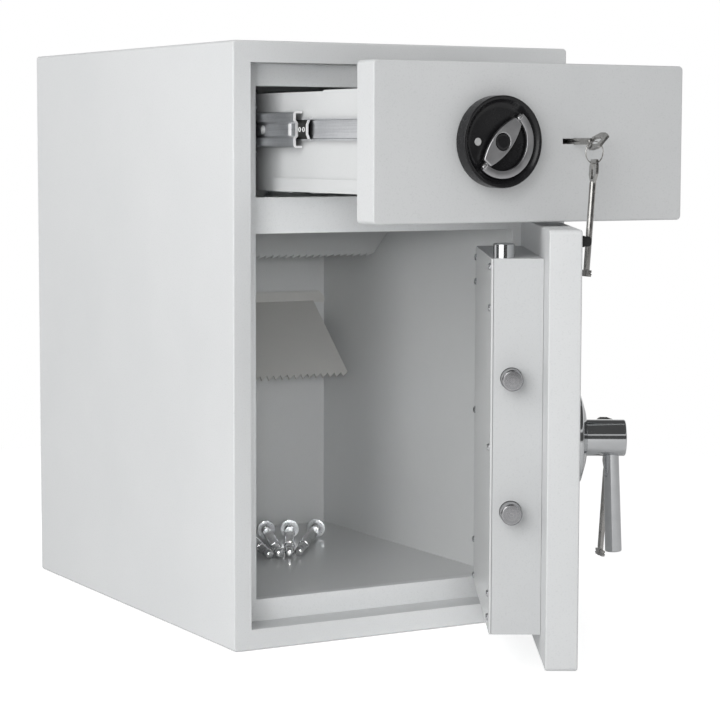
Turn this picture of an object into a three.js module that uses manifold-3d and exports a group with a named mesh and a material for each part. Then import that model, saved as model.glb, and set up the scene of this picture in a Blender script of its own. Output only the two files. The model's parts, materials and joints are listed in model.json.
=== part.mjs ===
// A drop safe with a deposit drawer above a hinged door, shown with the drawer pulled out and the door open.
// Millimetres, +Z up, +X to the right and -Y to the front. The origin is the middle of the underside.
// Every piece is drawn as it stands when drawer and door are shut, and its group then opens it.
import * as THREE from "three";
import { mergeVertices } from "three/addons/utils/BufferGeometryUtils.js";
import Module from "manifold-3d";

const wasm = await Module();
wasm.setup();

// Cabinet
const bodyWidth = 390;
const bodyDepth = 510;
const bodyHeight = 600;
const casingSheet = 3;
const casingEdgeRadius = 4;
const casingFrontRadius = 2;
const frameSide = 19.5;
const frameRail = 21;
const frameDeep = 35;
const stopPlateThick = 11.7;
const stopLedge = 23.5;
const stopRail = 22;
const linerSheet = 2;
const linerStep = 3;
const linerRise = 6;
const backWallThick = 54;

// Rest pose
const drawerPull = 230;
const doorOpenDegrees = 60.6;

// Clearances shared by many pieces
const seat = 0.3;
const cutOverrun = 2;
const pinClearance = 0.4;
const slotClearance = 0.6;

// Facets of round pieces, and steps of arcs
const roundSides = 32;
const mediumSides = 24;
const smallSides = 16;
const cornerSteps = 3;
const lensArcSteps = 10;
const ringArcSteps = 14;
const keyRingSides = 6;
const keyRingSteps = 18;

// Gaps round the door and the drawer plate
const leafGapSide = 4.9;
const leafGapTop = 4;
const leafGapBottom = 1.5;
const leafGapBetween = 4.2;

// Door
const doorThick = 30;
const leafEdgeRadius = 2;
const leafCornerRadius = 4;
const doorLipTop = 13.5;
const hingeAxisInset = 15;
const hingeAxisProud = 10;
const caseFreeGap = 31.4;
const caseHingeGap = 4.6;
const caseBottomGap = 3;
const caseTopGap = 15;
const caseDeep = 45.7;
const caseSheet = 3;
const innerCoverThick = 2;
const boltRadius = 10;
const boltChamfer = 1.5;
const boltHoleClearance = 0.5;
const upperBoltAboveShare = 0.184;
const lowerBoltBelowShare = 0.17;
const sideBoltDeep = 59;
const sideBoltProud = 18;
const sideBoltLength = 54.6;
const sideBoltThrow = 24;
const carrierThick = 6;
const carrierOverhang = 13;
const carrierArmThick = 4;
const topBoltInset = 16.6;
const topBoltProud = 14;
const topBoltLengthShare = 0.1981;
const topBoltThrow = 12;
const linkThick = 3;
const linkBarWidth = 16;
const linkBarFromSpindle = 15.4;
const linkFootHeight = 9.7;
const linkTopHeight = 16;
const studRadius = 7;
const studDeep = 61;
const studProud = 10.6;
const studFromCaseEnd = 59;
const pocketClearance = 3;
const pocketEndGap = 3.4;

// Door handle, lock, buffer and hinges
const leverFromCase = 78;
const leverBelowMiddle = 2.5;
const leverSpindleRadius = 6;
const crankThick = 5;
const crankRim = 5;
const crankPinRadius = 3;
const crankFromSlab = 12;
const workPlateGap = 2;
const rosetteRadius = 43;
const rosetteThick = 12.5;
const rosetteCrown = 17;
const rosetteCrownRadius = 26;
const rosetteEdge = 2;
const hubRadius = 17.5;
const hubEnd = 55.7;
const hubEdge = 3;
const leverOut = 41;
const leverLength = 110;
const leverTopRadius = 7.2;
const leverTipRadius = 8;
const leverTipEdge = 1.5;
const leverSplayDegrees = 2;
const doorKeyFromLever = 78.1;
const doorLockWidth = 62;
const doorLockHeight = 96;
const doorLockThick = 18;
const bufferRadius = 5.2;
const bufferProud = 9;
const bufferFromFreeEdge = 14;
const bufferFromTop = 11;
const hingeFromDoorEnd = 61;
const knuckleRadius = 8;
const knuckleLength = 24;
const knuckleGap = 0.6;
const hingePinRadius = 3.5;
const hingePlateThick = 4;
const hingePlateReach = 22;
const hingeWebHalf = 4;

// Drawer
const drawerPlateHeight = 146.3;
const drawerPlateThick = 31;
const drawerLipBottom = 18.8;
const drawerSheet = 1.5;
const drawerBottomGap = 6.5;
const drawerTopGap = 7;
const drawerRearGap = 24.7;
const hemLength = 121;
const hemRise = 1.2;
const stripHeight = 13;
const stripProud = 3;
const stripLength = 219;
const lockCoverDeep = 45;
const lockCoverSideGap = 2.5;
const lockCoverTopGap = 2;

// Tilting tray under the drawer's front part
const trayHingeBehindFront = 24;
const trayHingeRise = 2;
const trayTiltDegrees = 18;
const trayFrontGap = 3.9;
const traySheet = 2;
const traySideGap = 2.5;
const trayLipHeight = 14;
const trayRodRadius = 3;
const traySleeveRadius = 5;
const traySleeveGap = 38;
const armFromSide = 13.5;
const armThick = 3;
const armHalfHeight = 4;
const armFlat = 32;
const rollerBehind = 60;
const rollerDrop = 21.6;
const rollerRadius = 4.5;
const rollerWidth = 6;
const rollerPinRadius = 2;
const trackSheet = 2;
const trackSlack = 1.3;
const trackSideClearance = 2.5;
const trackRunout = 8;

// Chute deck and lower baffle
const deckSheet = 2;
const deckSideGap = 0.5;
const deckFlangeHeight = 14;
const deckEndFromBack = 166;
const deckLipRun = 49.5;
const deckLipDrop = 39.4;
const toothPitch = 8.8;
const toothDepth = 7;
const baffleBelowWindow = 137;
const baffleReach = 91;
const baffleDrop = 84;
const baffleFlangeHeight = 12;
const baffleSideGap = 15.5;
const baffleCornerCut = 7.5;

// Drawer slides
const slideRiseShare = 0.625;
const slideSheet = 1.3;
const slidePacking = 3;
const slidePackingHeight = 60;
const slideFrontGap = 2.7;
const slideRearGap = 6;
const slideRunGap = 1.9;
const cabinetMemberHeight = 45.7;
const cabinetMemberReach = 9;
const middleMemberHeight = 34.6;
const middleMemberRearGap = 15;
const middleMemberFrontAtRest = -30;
const middleFlangeReach = 5;
const beadHeight = 9.5;
const beadProud = 2.4;
const ballRowWidth = 3;
const ballRowFromFront = 90;
const ballRowFromBack = 20;
const cageLead = 42;
const cageShorter = 75;
const cageHeight = 30;
const cageSheet = 0.9;
const cageFlange = 4.1;
const cageReach = 5;
const drawerMemberHeight = 21;
const drawerMemberReach = 5;
const drawerMemberGap = 1.7;
const drawerMemberRearGap = 1.3;

// Round handle on the drawer
const handleFromMiddle = -42.8;
const handleBelowTop = 72.4;
const handleDiscRadius = 42;
const handleDiscThick = 14.3;
const handleRimWidth = 5;
const handleRimEdge = 2.5;
const handleBowlDeep = 7;
const handleBowlRadius = 30;
const handleBowlCorner = 1;
const handleTurnDegrees = 49.5;
const turnPlateHalfWidth = 10.5;
const turnPlateTipHalf = 4.5;
const turnPlateThick = 4;
const turnPlateDeep = 0.5;
const ringOuterRadius = 33.5;
const ringWidth = 7;
const ringThick = 3;
const ringPinRadius = 1.4;
const ringPinRoot = 3;
const ringEyeRadius = 2.8;
const ringEyeLength = 5;
const turnCapRadius = 7.5;
const turnCapProud = 0.6;
const turnSpindleRadius = 5;
const latchThrow = 12;
const latchHalfWidth = 10;
const latchThick = 4;
const latchBlockDeep = 9;
const latchBlockHeight = 20;
const latchLift = 2.5;
const latchMetal = 3.8;

// Key locks
const drawerKeyFromMiddle = 46;
const keyBelowTop = 71.7;
const keySlotHalf = 14;
const keySlotHeight = 5;
const keyShankRadius = 2.9;
const drawerKeyOutside = 24;
const doorKeyOutside = 32;
const keyInside = 44;
const bowLength = 22;
const bowWidth = 21;
const bowThick = 2.5;
const bowHoleRadius = 4.5;
const bowHoleFromBack = 15;
const drawerKeyTurnDegrees = 45;
const doorKeyTurnDegrees = 85;
const keyBitLength = 6;
const keyBitHalf = 12;
const keyBitThick = 3;
const keyCavityRadius = 15;
const keyRingRadius = 10.2;
const keyRingTube = 0.9;
const lockCaseWidth = 55;
const lockCaseAbove = 36.7;
const lockCaseBelow = 29.3;
const lockCaseDeep = 28.4;
const deadBoltWidth = 15;
const deadBoltHeld = 18;

// Anchoring
const anchorHoleRadius = 8;
const anchorHolesFromMiddle = -120;
const floorHolesFromFront = 130;
const floorHolesFromBack = 110;
const backHolesHeight = 100;
const backHolesApart = 140;
const anchorRadius = 5.2;
const anchorSleeveRadius = 6;
const anchorLength = 139;
const anchorEndProud = 2;
const anchorNutRadius = 8.4;
const anchorNutLength = 6;
const anchorWasherRadius = 11;
const anchorWasherThick = 2.4;
const anchorSleeveStart = 35;
const anchorSleeveLength = 77;
const anchorTipsFromBack = 203;
const anchorFirstTip = -24;
const anchorTipSpacing = 12;
const anchorFanDegrees = [12, 20.5, 28, 37];
const nutSides = 6;

function materialOf(color, roughness, metalness) {
  return new THREE.MeshStandardMaterial({ color, roughness, metalness });
}

const paint = materialOf(0xd3d5d6, 0.55, 0.1);
const innerPaint = materialOf(0xb9bcbc, 0.6, 0.1);
const concrete = materialOf(0x9a978f, 0.95, 0);
const zinc = materialOf(0xc4c8cc, 0.35, 0.9);
const chrome = materialOf(0xdadcdf, 0.12, 1);
const boltSteel = materialOf(0x9da0a3, 0.3, 0.95);
const blackPlastic = materialOf(0x1b1b1d, 0.45, 0);
const rubber = materialOf(0x151515, 0.85, 0);

// Solids: each helper gives a closed body that can be cut and joined
function solidOf(geometry) {
  const bare = new THREE.BufferGeometry();
  bare.setAttribute("position", geometry.getAttribute("position").clone());
  if (geometry.index) bare.setIndex(geometry.index.clone());
  const merged = mergeVertices(bare, 1e-4);
  const vertProperties = new Float32Array(merged.getAttribute("position").array);
  const triVerts = new Uint32Array(merged.index.array);
  return new wasm.Manifold(new wasm.Mesh({ numProp: 3, vertProperties, triVerts }));
}

function geometryOf(solid) {
  const mesh = solid.getMesh();
  const positions = new Float32Array(mesh.numVert * 3);
  for (let i = 0; i < mesh.numVert; i++) {
    positions.set(mesh.vertProperties.subarray(i * mesh.numProp, i * mesh.numProp + 3), i * 3);
  }
  const geometry = new THREE.BufferGeometry();
  geometry.setAttribute("position", new THREE.BufferAttribute(positions, 3));
  geometry.setIndex(new THREE.BufferAttribute(new Uint32Array(mesh.triVerts), 1));
  const flat = geometry.toNonIndexed();
  flat.computeVertexNormals();
  return flat;
}

const join = (first, ...rest) => rest.reduce((sum, piece) => sum.add(piece), first);
const cut = (first, ...rest) => rest.reduce((sum, piece) => sum.subtract(piece), first);

function block(x, y, z) {
  const geometry = new THREE.BoxGeometry(x[1] - x[0], y[1] - y[0], z[1] - z[0]);
  geometry.translate((x[0] + x[1]) / 2, (y[0] + y[1]) / 2, (z[0] + z[1]) / 2);
  return solidOf(geometry);
}

// A round bar along one axis, given the two places across it
function rod(axis, radius, from, to, across, sides = roundSides) {
  const geometry = new THREE.CylinderGeometry(radius, radius, to - from, sides);
  geometry.translate(0, (from + to) / 2, 0);
  if (axis === "x") geometry.rotateZ(-Math.PI / 2).translate(0, across[0], across[1]);
  if (axis === "y") geometry.translate(across[0], 0, across[1]);
  if (axis === "z") geometry.rotateX(Math.PI / 2).translate(across[0], across[1], 0);
  return solidOf(geometry);
}

// A turned piece: points are [radius, place along the axis], closed on themselves, and the axis is Y
function turned(points, sides = roundSides) {
  const profile = points.concat([points[0]]).map(([r, y]) => new THREE.Vector2(r, y));
  const solid = solidOf(new THREE.LatheGeometry(profile, sides));
  if (solid.volume() > 0) return solid;
  return solidOf(new THREE.LatheGeometry(profile.reverse(), sides));
}

// An outline of [y, z] points, pushed along X
function prismX(points, from, to) {
  const shape = new THREE.Shape(points.map(([y, z]) => new THREE.Vector2(y, z)));
  const geometry = new THREE.ExtrudeGeometry(shape, { depth: to - from, bevelEnabled: false });
  geometry.rotateZ(Math.PI / 2).rotateY(Math.PI / 2).translate(from, 0, 0);
  return solidOf(geometry);
}

// A slab with rounded corners and rounded front and back edges
function roundedSlab(x, y, z, corner, edge) {
  const half = (x[1] - x[0]) / 2 - edge;
  const tall = (z[1] - z[0]) / 2 - edge;
  const r = corner - edge;
  const shape = new THREE.Shape();
  shape.moveTo(half - r, -tall);
  shape.absarc(half - r, r - tall, r, -Math.PI / 2, 0);
  shape.absarc(half - r, tall - r, r, 0, Math.PI / 2);
  shape.absarc(r - half, tall - r, r, Math.PI / 2, Math.PI);
  shape.absarc(r - half, r - tall, r, Math.PI, 1.5 * Math.PI);
  const depth = y[1] - y[0] - 2 * edge;
  const bevel = { bevelEnabled: true, bevelSize: edge, bevelThickness: edge, bevelSegments: 2 };
  const geometry = new THREE.ExtrudeGeometry(shape, { depth, curveSegments: cornerSteps, ...bevel });
  geometry.rotateX(Math.PI / 2).translate((x[0] + x[1]) / 2, y[1] - edge, (z[0] + z[1]) / 2);
  return solidOf(geometry);
}

const radians = THREE.MathUtils.degToRad;
const spanX = (half) => [-half, half];
const front = -bodyDepth / 2;
const deep = (distance) => front + distance;
const deepSpan = (from, to) => [deep(from), deep(to)];
const mirrored = (x) => [-x[1], -x[0]];

function piece(group, name, solid, material) {
  const mesh = new THREE.Mesh(geometryOf(solid), material);
  mesh.name = name;
  group.add(mesh);
  return mesh;
}

const safe = new THREE.Group();

// Places across the cabinet, from its middle
const innerHalf = bodyWidth / 2 - casingSheet;
const frameOpeningHalf = bodyWidth / 2 - frameSide;
const windowHalf = frameOpeningHalf - stopLedge;
const linerHalf = windowHalf + linerStep;
const leafHalf = frameOpeningHalf - leafGapSide;
const hingeAxisAcross = bodyWidth / 2 - hingeAxisInset;
const caseLeft = caseFreeGap - windowHalf;
const caseRight = windowHalf - caseHingeGap;
const leverAcross = caseLeft + leverFromCase;
const doorKeyAcross = leverAcross + doorKeyFromLever;
const packingLeft = seat - linerHalf;
const memberLeft = packingLeft + slidePacking;
const middleWebLeft = memberLeft + slideSheet + slideRunGap + beadProud;
const cageWebLeft = middleWebLeft + slideSheet + seat;
const drawerMemberLeft = cageWebLeft + cageSheet + seat;
const drawerBoxHalf = -(drawerMemberLeft + drawerMemberReach + seat);
const trayHalf = drawerBoxHalf - drawerSheet - traySideGap;
const armInner = trayHalf - armFromSide - seat;

// Places behind the cabinet's front plane
const stopFront = frameDeep + seat;
const stopBack = stopFront + stopPlateThick;
const linerFront = stopBack + seat;
const linerBack = bodyDepth - backWallThick;
const caseFront = doorThick + seat;
const caseBack = caseFront + caseDeep;
const boxFront = drawerPlateThick + seat;
const boxBack = linerBack - drawerRearGap;
const coverFront = boxFront + drawerSheet + seat;
const coverBack = coverFront + lockCoverDeep;
const slideFront = linerFront + slideFrontGap;
const slideBack = linerBack - slideRearGap;
const deckFront = linerFront + seat;
const latchBlockFront = deckFront + deckSheet + pinClearance + seat;
const keyCavityBack = keyInside + seat + seat;
const trayHingeDeep = drawerPull + trayHingeBehindFront;
const deckEndDeep = linerBack - deckEndFromBack;
const middleMemberFront = middleMemberFrontAtRest + drawerPull / 2;
const middleMemberBack = slideBack - middleMemberRearGap;

// Heights
const drawerPlateTop = bodyHeight - frameRail - leafGapTop;
const drawerPlateBottom = drawerPlateTop - drawerPlateHeight;
const doorBottom = frameRail + leafGapBottom;
const doorTop = drawerPlateBottom - leafGapBetween;
const leverHeight = (doorBottom + doorTop) / 2 - leverBelowMiddle;
const doorWindowBottom = frameRail + stopRail;
const doorWindowTop = doorTop - doorLipTop;
const drawerWindowBottom = drawerPlateBottom + drawerLipBottom;
const drawerWindowTop = bodyHeight - frameRail - stopRail;
const linerFloor = doorWindowBottom - linerRise;
const linerCeiling = drawerWindowTop + linerRise;
const caseBottom = doorWindowBottom + caseBottomGap;
const caseTop = doorWindowTop - caseTopGap;
const caseHeight = caseTop - caseBottom;
const upperBoltHeight = leverHeight + upperBoltAboveShare * caseHeight;
const lowerBoltHeight = leverHeight - lowerBoltBelowShare * caseHeight;
const sideBoltHeights = [upperBoltHeight, lowerBoltHeight];
const studHeights = [caseTop - studFromCaseEnd, caseBottom + studFromCaseEnd];
const hingeHeights = [doorBottom + hingeFromDoorEnd, doorTop - hingeFromDoorEnd];
const drawerSideBottom = drawerWindowBottom + drawerBottomGap;
const drawerSideTop = drawerWindowTop - drawerTopGap;
const slideHeight = drawerSideBottom + slideRiseShare * (drawerSideTop - drawerSideBottom);
const trayHingeHeight = drawerSideBottom + trayHingeRise;
const handleHeight = drawerPlateTop - handleBelowTop;
const keyHeight = drawerPlateTop - keyBelowTop;
const drawerBoltRest = drawerWindowBottom + latchLift;
const lockBottom = keyHeight - lockCaseBelow;
const deadBoltTop = lockBottom + deadBoltHeld;
const baffleTopHeight = drawerWindowBottom - baffleBelowWindow;

function anchorHoleCutters() {
  const floor = [floorHolesFromFront, bodyDepth - floorHolesFromBack];
  const back = [backHolesHeight, backHolesHeight + backHolesApart];
  const down = floor.map((distance) => rod("z", anchorHoleRadius, -cutOverrun, linerFloor + cutOverrun,
    [anchorHolesFromMiddle, deep(distance)], smallSides));
  const through = back.map((z) => rod("y", anchorHoleRadius, deep(linerBack - cutOverrun),
    deep(bodyDepth + cutOverrun), [anchorHolesFromMiddle, z], smallSides));
  return down.concat(through);
}

function boltPocketCutters() {
  const left = caseLeft - sideBoltProud - sideBoltThrow - pocketEndGap;
  const right = caseRight + studProud + pocketEndGap;
  const side = sideBoltHeights.map((z) => rod("x", boltRadius + pocketClearance, left,
    cutOverrun - linerHalf, [deep(sideBoltDeep), z], smallSides));
  const studs = studHeights.map((z) => rod("x", studRadius + pocketClearance, linerHalf - cutOverrun, right,
    [deep(studDeep), z], smallSides));
  return side.concat(studs);
}

function makeCabinet() {
  const cabinet = new THREE.Group();
  safe.add(cabinet);
  const shell = roundedSlab(spanX(bodyWidth / 2), deepSpan(0, bodyDepth), [0, bodyHeight],
    casingEdgeRadius, casingFrontRadius);
  const hollow = block(spanX(innerHalf), deepSpan(frameDeep, bodyDepth - casingSheet),
    [casingSheet, bodyHeight - casingSheet]);
  const mouth = block(spanX(frameOpeningHalf), deepSpan(-cutOverrun, frameDeep + cutOverrun),
    [frameRail, bodyHeight - frameRail]);
  piece(cabinet, "outer_casing", cut(shell, hollow, mouth, ...anchorHoleCutters()), paint);

  const insideHalf = innerHalf - seat;
  const insideBottom = casingSheet + seat;
  const insideTop = bodyHeight - casingSheet - seat;
  const windowCut = (bottom, top) => block(spanX(windowHalf),
    deepSpan(stopFront - cutOverrun, stopBack + cutOverrun), [bottom, top]);
  const plate = block(spanX(insideHalf), deepSpan(stopFront, stopBack), [insideBottom, insideTop]);
  const doorWindow = windowCut(doorWindowBottom, doorWindowTop);
  const drawerWindow = windowCut(drawerWindowBottom, drawerWindowTop);
  piece(cabinet, "stop_frame", cut(plate, doorWindow, drawerWindow), paint);

  const outerHalf = linerHalf + linerSheet;
  const linerOuter = block(spanX(outerHalf), deepSpan(linerFront, linerBack + linerSheet),
    [linerFloor - linerSheet, linerCeiling + linerSheet]);
  const linerInner = block(spanX(linerHalf), deepSpan(linerFront - cutOverrun, linerBack),
    [linerFloor, linerCeiling]);
  piece(cabinet, "inner_liner", cut(linerOuter, linerInner, ...anchorHoleCutters(), ...boltPocketCutters()),
    innerPaint);

  const fillOuter = block(spanX(insideHalf), deepSpan(linerFront, bodyDepth - casingSheet - seat),
    [insideBottom, insideTop]);
  const fillInner = block(spanX(outerHalf + seat),
    deepSpan(linerFront - cutOverrun, linerBack + linerSheet + seat),
    [linerFloor - linerSheet - seat, linerCeiling + linerSheet + seat]);
  piece(cabinet, "barrier_filling", cut(fillOuter, fillInner, ...anchorHoleCutters(), ...boltPocketCutters()),
    concrete);
  return cabinet;
}

// A sloping plate whose lower edge is toothed: it starts at one place and ends a run back and a drop down
function toothedPlate(halfWidth, startDeep, startHeight, run, drop, sheet) {
  const length = Math.hypot(run, drop);
  const count = Math.floor((2 * halfWidth) / toothPitch);
  const pitch = (2 * halfWidth) / count;
  const shape = new THREE.Shape();
  shape.moveTo(halfWidth, 0);
  shape.lineTo(-halfWidth, 0);
  for (let i = 0; i < count; i++) {
    shape.lineTo(i * pitch - halfWidth, -length);
    shape.lineTo((i + 1) * pitch - halfWidth, toothDepth - length);
  }
  const geometry = new THREE.ExtrudeGeometry(shape, { depth: sheet, bevelEnabled: false });
  geometry.translate(0, 0, run > 0 ? 0 : -sheet);
  geometry.rotateX(Math.atan2(drop, -run)).translate(0, deep(startDeep), startHeight);
  return solidOf(geometry);
}

// The roller's path when the drawer is shut, which the deck and the tracks follow
const tilt = radians(trayTiltDegrees);
const rollerRest = { deep: trayHingeDeep - drawerPull + rollerBehind, height: trayHingeHeight - rollerDrop };
const rollerShut = {
  deep: trayHingeDeep + rollerBehind * Math.cos(tilt) - rollerDrop * Math.sin(tilt),
  height: trayHingeHeight - rollerDrop * Math.cos(tilt) - rollerBehind * Math.sin(tilt),
};
const deckFall = (rollerRest.height - rollerShut.height) / (rollerShut.deep - rollerRest.deep);
const trackInside = 2 * (rollerRadius + trackSlack);
const deckDrop = rollerRadius + trackSlack + trackSheet + seat;
const deckTopAt = (distance) => rollerRest.height - deckDrop - deckFall * (distance - rollerRest.deep);

function makeChute(cabinet) {
  const half = linerHalf - deckSideGap;
  const endHeight = deckTopAt(deckEndDeep);
  const slope = prismX([
    [deep(deckFront), deckTopAt(deckFront)],
    [deep(deckEndDeep), endHeight],
    [deep(deckEndDeep), endHeight - deckSheet],
    [deep(deckFront), deckTopAt(deckFront) - deckSheet],
  ], -half, half);
  const flange = block(spanX(half), deepSpan(deckFront, deckFront + deckSheet),
    [deckTopAt(deckFront) - deckSheet, deckTopAt(deckFront) + deckFlangeHeight]);
  const lip = toothedPlate(half, deckEndDeep, endHeight, deckLipRun, deckLipDrop, deckSheet);
  piece(cabinet, "chute_deck", join(slope, flange, lip), innerPaint);

  const wall = linerBack - seat;
  const baffle = toothedPlate(half - baffleSideGap, wall - deckSheet, baffleTopHeight, -baffleReach, baffleDrop,
    deckSheet);
  const flangeShape = new THREE.Shape();
  flangeShape.moveTo(-half, -deckSheet);
  flangeShape.lineTo(half, -deckSheet);
  flangeShape.lineTo(half, baffleFlangeHeight - baffleCornerCut);
  flangeShape.lineTo(half - baffleCornerCut, baffleFlangeHeight);
  flangeShape.lineTo(baffleCornerCut - half, baffleFlangeHeight);
  flangeShape.lineTo(-half, baffleFlangeHeight - baffleCornerCut);
  const flangeGeometry = new THREE.ExtrudeGeometry(flangeShape, { depth: deckSheet, bevelEnabled: false });
  flangeGeometry.rotateX(Math.PI / 2).translate(0, deep(wall), baffleTopHeight);
  piece(cabinet, "lower_baffle", join(baffle, solidOf(flangeGeometry)), innerPaint);

  // A channel that opens towards the tray's arms, seen along its length
  const trackStart = armInner + armThick + seat + seat;
  const trackEnd = trackStart + rollerWidth + trackSideClearance + trackSheet;
  const tall = trackInside / 2 + trackSheet;
  const run = Math.hypot(rollerShut.deep - rollerRest.deep, rollerRest.height - rollerShut.height);
  const ends = rollerRadius + trackRunout;
  for (const side of [-1, 1]) {
    const across = (x) => (side > 0 ? x : mirrored(x));
    const outer = block(across([trackStart, trackEnd]), [-ends, run + ends], spanX(tall));
    const inner = block(across([trackStart - cutOverrun, trackEnd - trackSheet]),
      [-ends - cutOverrun, run + ends + cutOverrun], spanX(trackInside / 2));
    const track = piece(cabinet, side > 0 ? "tilt_track_right" : "tilt_track_left", cut(outer, inner), zinc);
    track.position.set(0, deep(rollerRest.deep), rollerRest.height);
    track.rotation.x = -Math.atan(deckFall);
  }
}

// Drawer slides: each section is a list of [across, up] spans, as it stands on the left side of the drawer
function channel(left, sheet, reach, height, flange) {
  const half = height / 2;
  return [
    [[left, left + sheet], [-half, half]],
    [[left, left + reach], [half - flange, half]],
    [[left, left + reach], [-half, flange - half]],
  ];
}

const bothEdges = (low, high) => [[low, high], [-high, -low]];

const packingSection = [[packingLeft, memberLeft + slideSheet / 2], spanX(slidePackingHeight / 2)];
const cabinetSection = channel(memberLeft, slideSheet, cabinetMemberReach, cabinetMemberHeight,
  slideSheet).concat([packingSection]);
const middleHalf = middleMemberHeight / 2;
const beads = bothEdges(middleHalf - beadHeight, middleHalf).map((z) => [
  [middleWebLeft - beadProud, middleWebLeft + slideSheet], z,
]);
const middleSection = channel(middleWebLeft, slideSheet, slideSheet + middleFlangeReach, middleMemberHeight,
  slideSheet).concat(beads);
const ballRowInside = cabinetMemberHeight / 2 - slideSheet - seat;
const ballRowSection = bothEdges(middleHalf - slideSheet, ballRowInside).map((z) => [
  [middleWebLeft, middleWebLeft + slideSheet + ballRowWidth], z,
]);
const cageSection = channel(cageWebLeft, cageSheet, cageReach, cageHeight, cageFlange);
const drawerMemberSection = channel(-drawerMemberLeft - drawerMemberReach, slideSheet, drawerMemberReach,
  drawerMemberHeight, slideSheet).map(([x, z]) => [mirrored(x), z]);

function slideSolid(section, side, from, to) {
  return join(...section.map(([x, z]) => block(side < 0 ? x : mirrored(x), deepSpan(from, to),
    [slideHeight + z[0], slideHeight + z[1]])));
}

function makeSlides(cabinet, middle, drawer) {
  const cageFront = middleMemberFront - cageLead;
  const cageBack = cageFront + middleMemberBack - middleMemberFront - cageShorter;
  const ballRow = [middleMemberFront + ballRowFromFront, middleMemberBack - ballRowFromBack];
  for (const [name, side] of [["left", -1], ["right", 1]]) {
    piece(cabinet, "slide_cabinet_" + name, slideSolid(cabinetSection, side, slideFront, slideBack), zinc);
    piece(middle, "slide_middle_" + name, join(
      slideSolid(middleSection, side, middleMemberFront, middleMemberBack),
      slideSolid(ballRowSection, side, ...ballRow),
    ), zinc);
    piece(middle, "ball_cage_" + name, slideSolid(cageSection, side, cageFront, cageBack), blackPlastic);
    piece(drawer, "slide_drawer_" + name, slideSolid(drawerMemberSection, side, boxFront + drawerMemberGap,
      boxBack - drawerMemberRearGap), zinc);
  }
}

// A key with its shank along Y: round shank, flat bow with a hole, and a bit across the far end
function keySolid(outside) {
  const bowFront = -outside - bowLength;
  const shank = rod("y", keyShankRadius, -outside - bowThick, keyInside, [0, 0], smallSides);
  const bow = block(spanX(bowWidth / 2), [bowFront, -outside], spanX(bowThick / 2));
  const hole = rod("z", bowHoleRadius, -bowThick, bowThick, [0, bowFront + bowHoleFromBack], smallSides);
  const bit = block(spanX(keyBitHalf), [keyInside - keyBitLength, keyInside], spanX(keyBitThick / 2));
  return cut(join(shank, bow, bit), hole);
}

function addKey(parent, name, across, height, outside, turnDegrees, ringSag) {
  const key = piece(parent, name, keySolid(outside), zinc);
  key.position.set(across, deep(0), height);
  key.rotation.y = -radians(turnDegrees);
  const loop = new THREE.TorusGeometry(keyRingRadius, keyRingTube, keyRingSides, keyRingSteps);
  const ring = piece(parent, name + "_ring", solidOf(loop), chrome);
  ring.rotation.x = Math.PI / 2;
  ring.position.set(across, deep(bowHoleFromBack - outside - bowLength), height - keyRingRadius - ringSag);
}

// The hole for a key's shank and the slot that its bit passes through, in a plate of one thickness
function keyholeCutters(across, height, from, to) {
  const shank = rod("y", keyShankRadius + pinClearance, deep(from - cutOverrun), deep(to + cutOverrun),
    [across, height], smallSides);
  const slot = block([across - keySlotHalf, across + keySlotHalf],
    deepSpan(from - cutOverrun, to + cutOverrun), [height - keySlotHeight / 2, height + keySlotHeight / 2]);
  return [shank, slot];
}

const keyCavity = (across, height, from) => rod("y", keyCavityRadius,
  deep(from - cutOverrun), deep(keyCavityBack), [across, height]);

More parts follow.
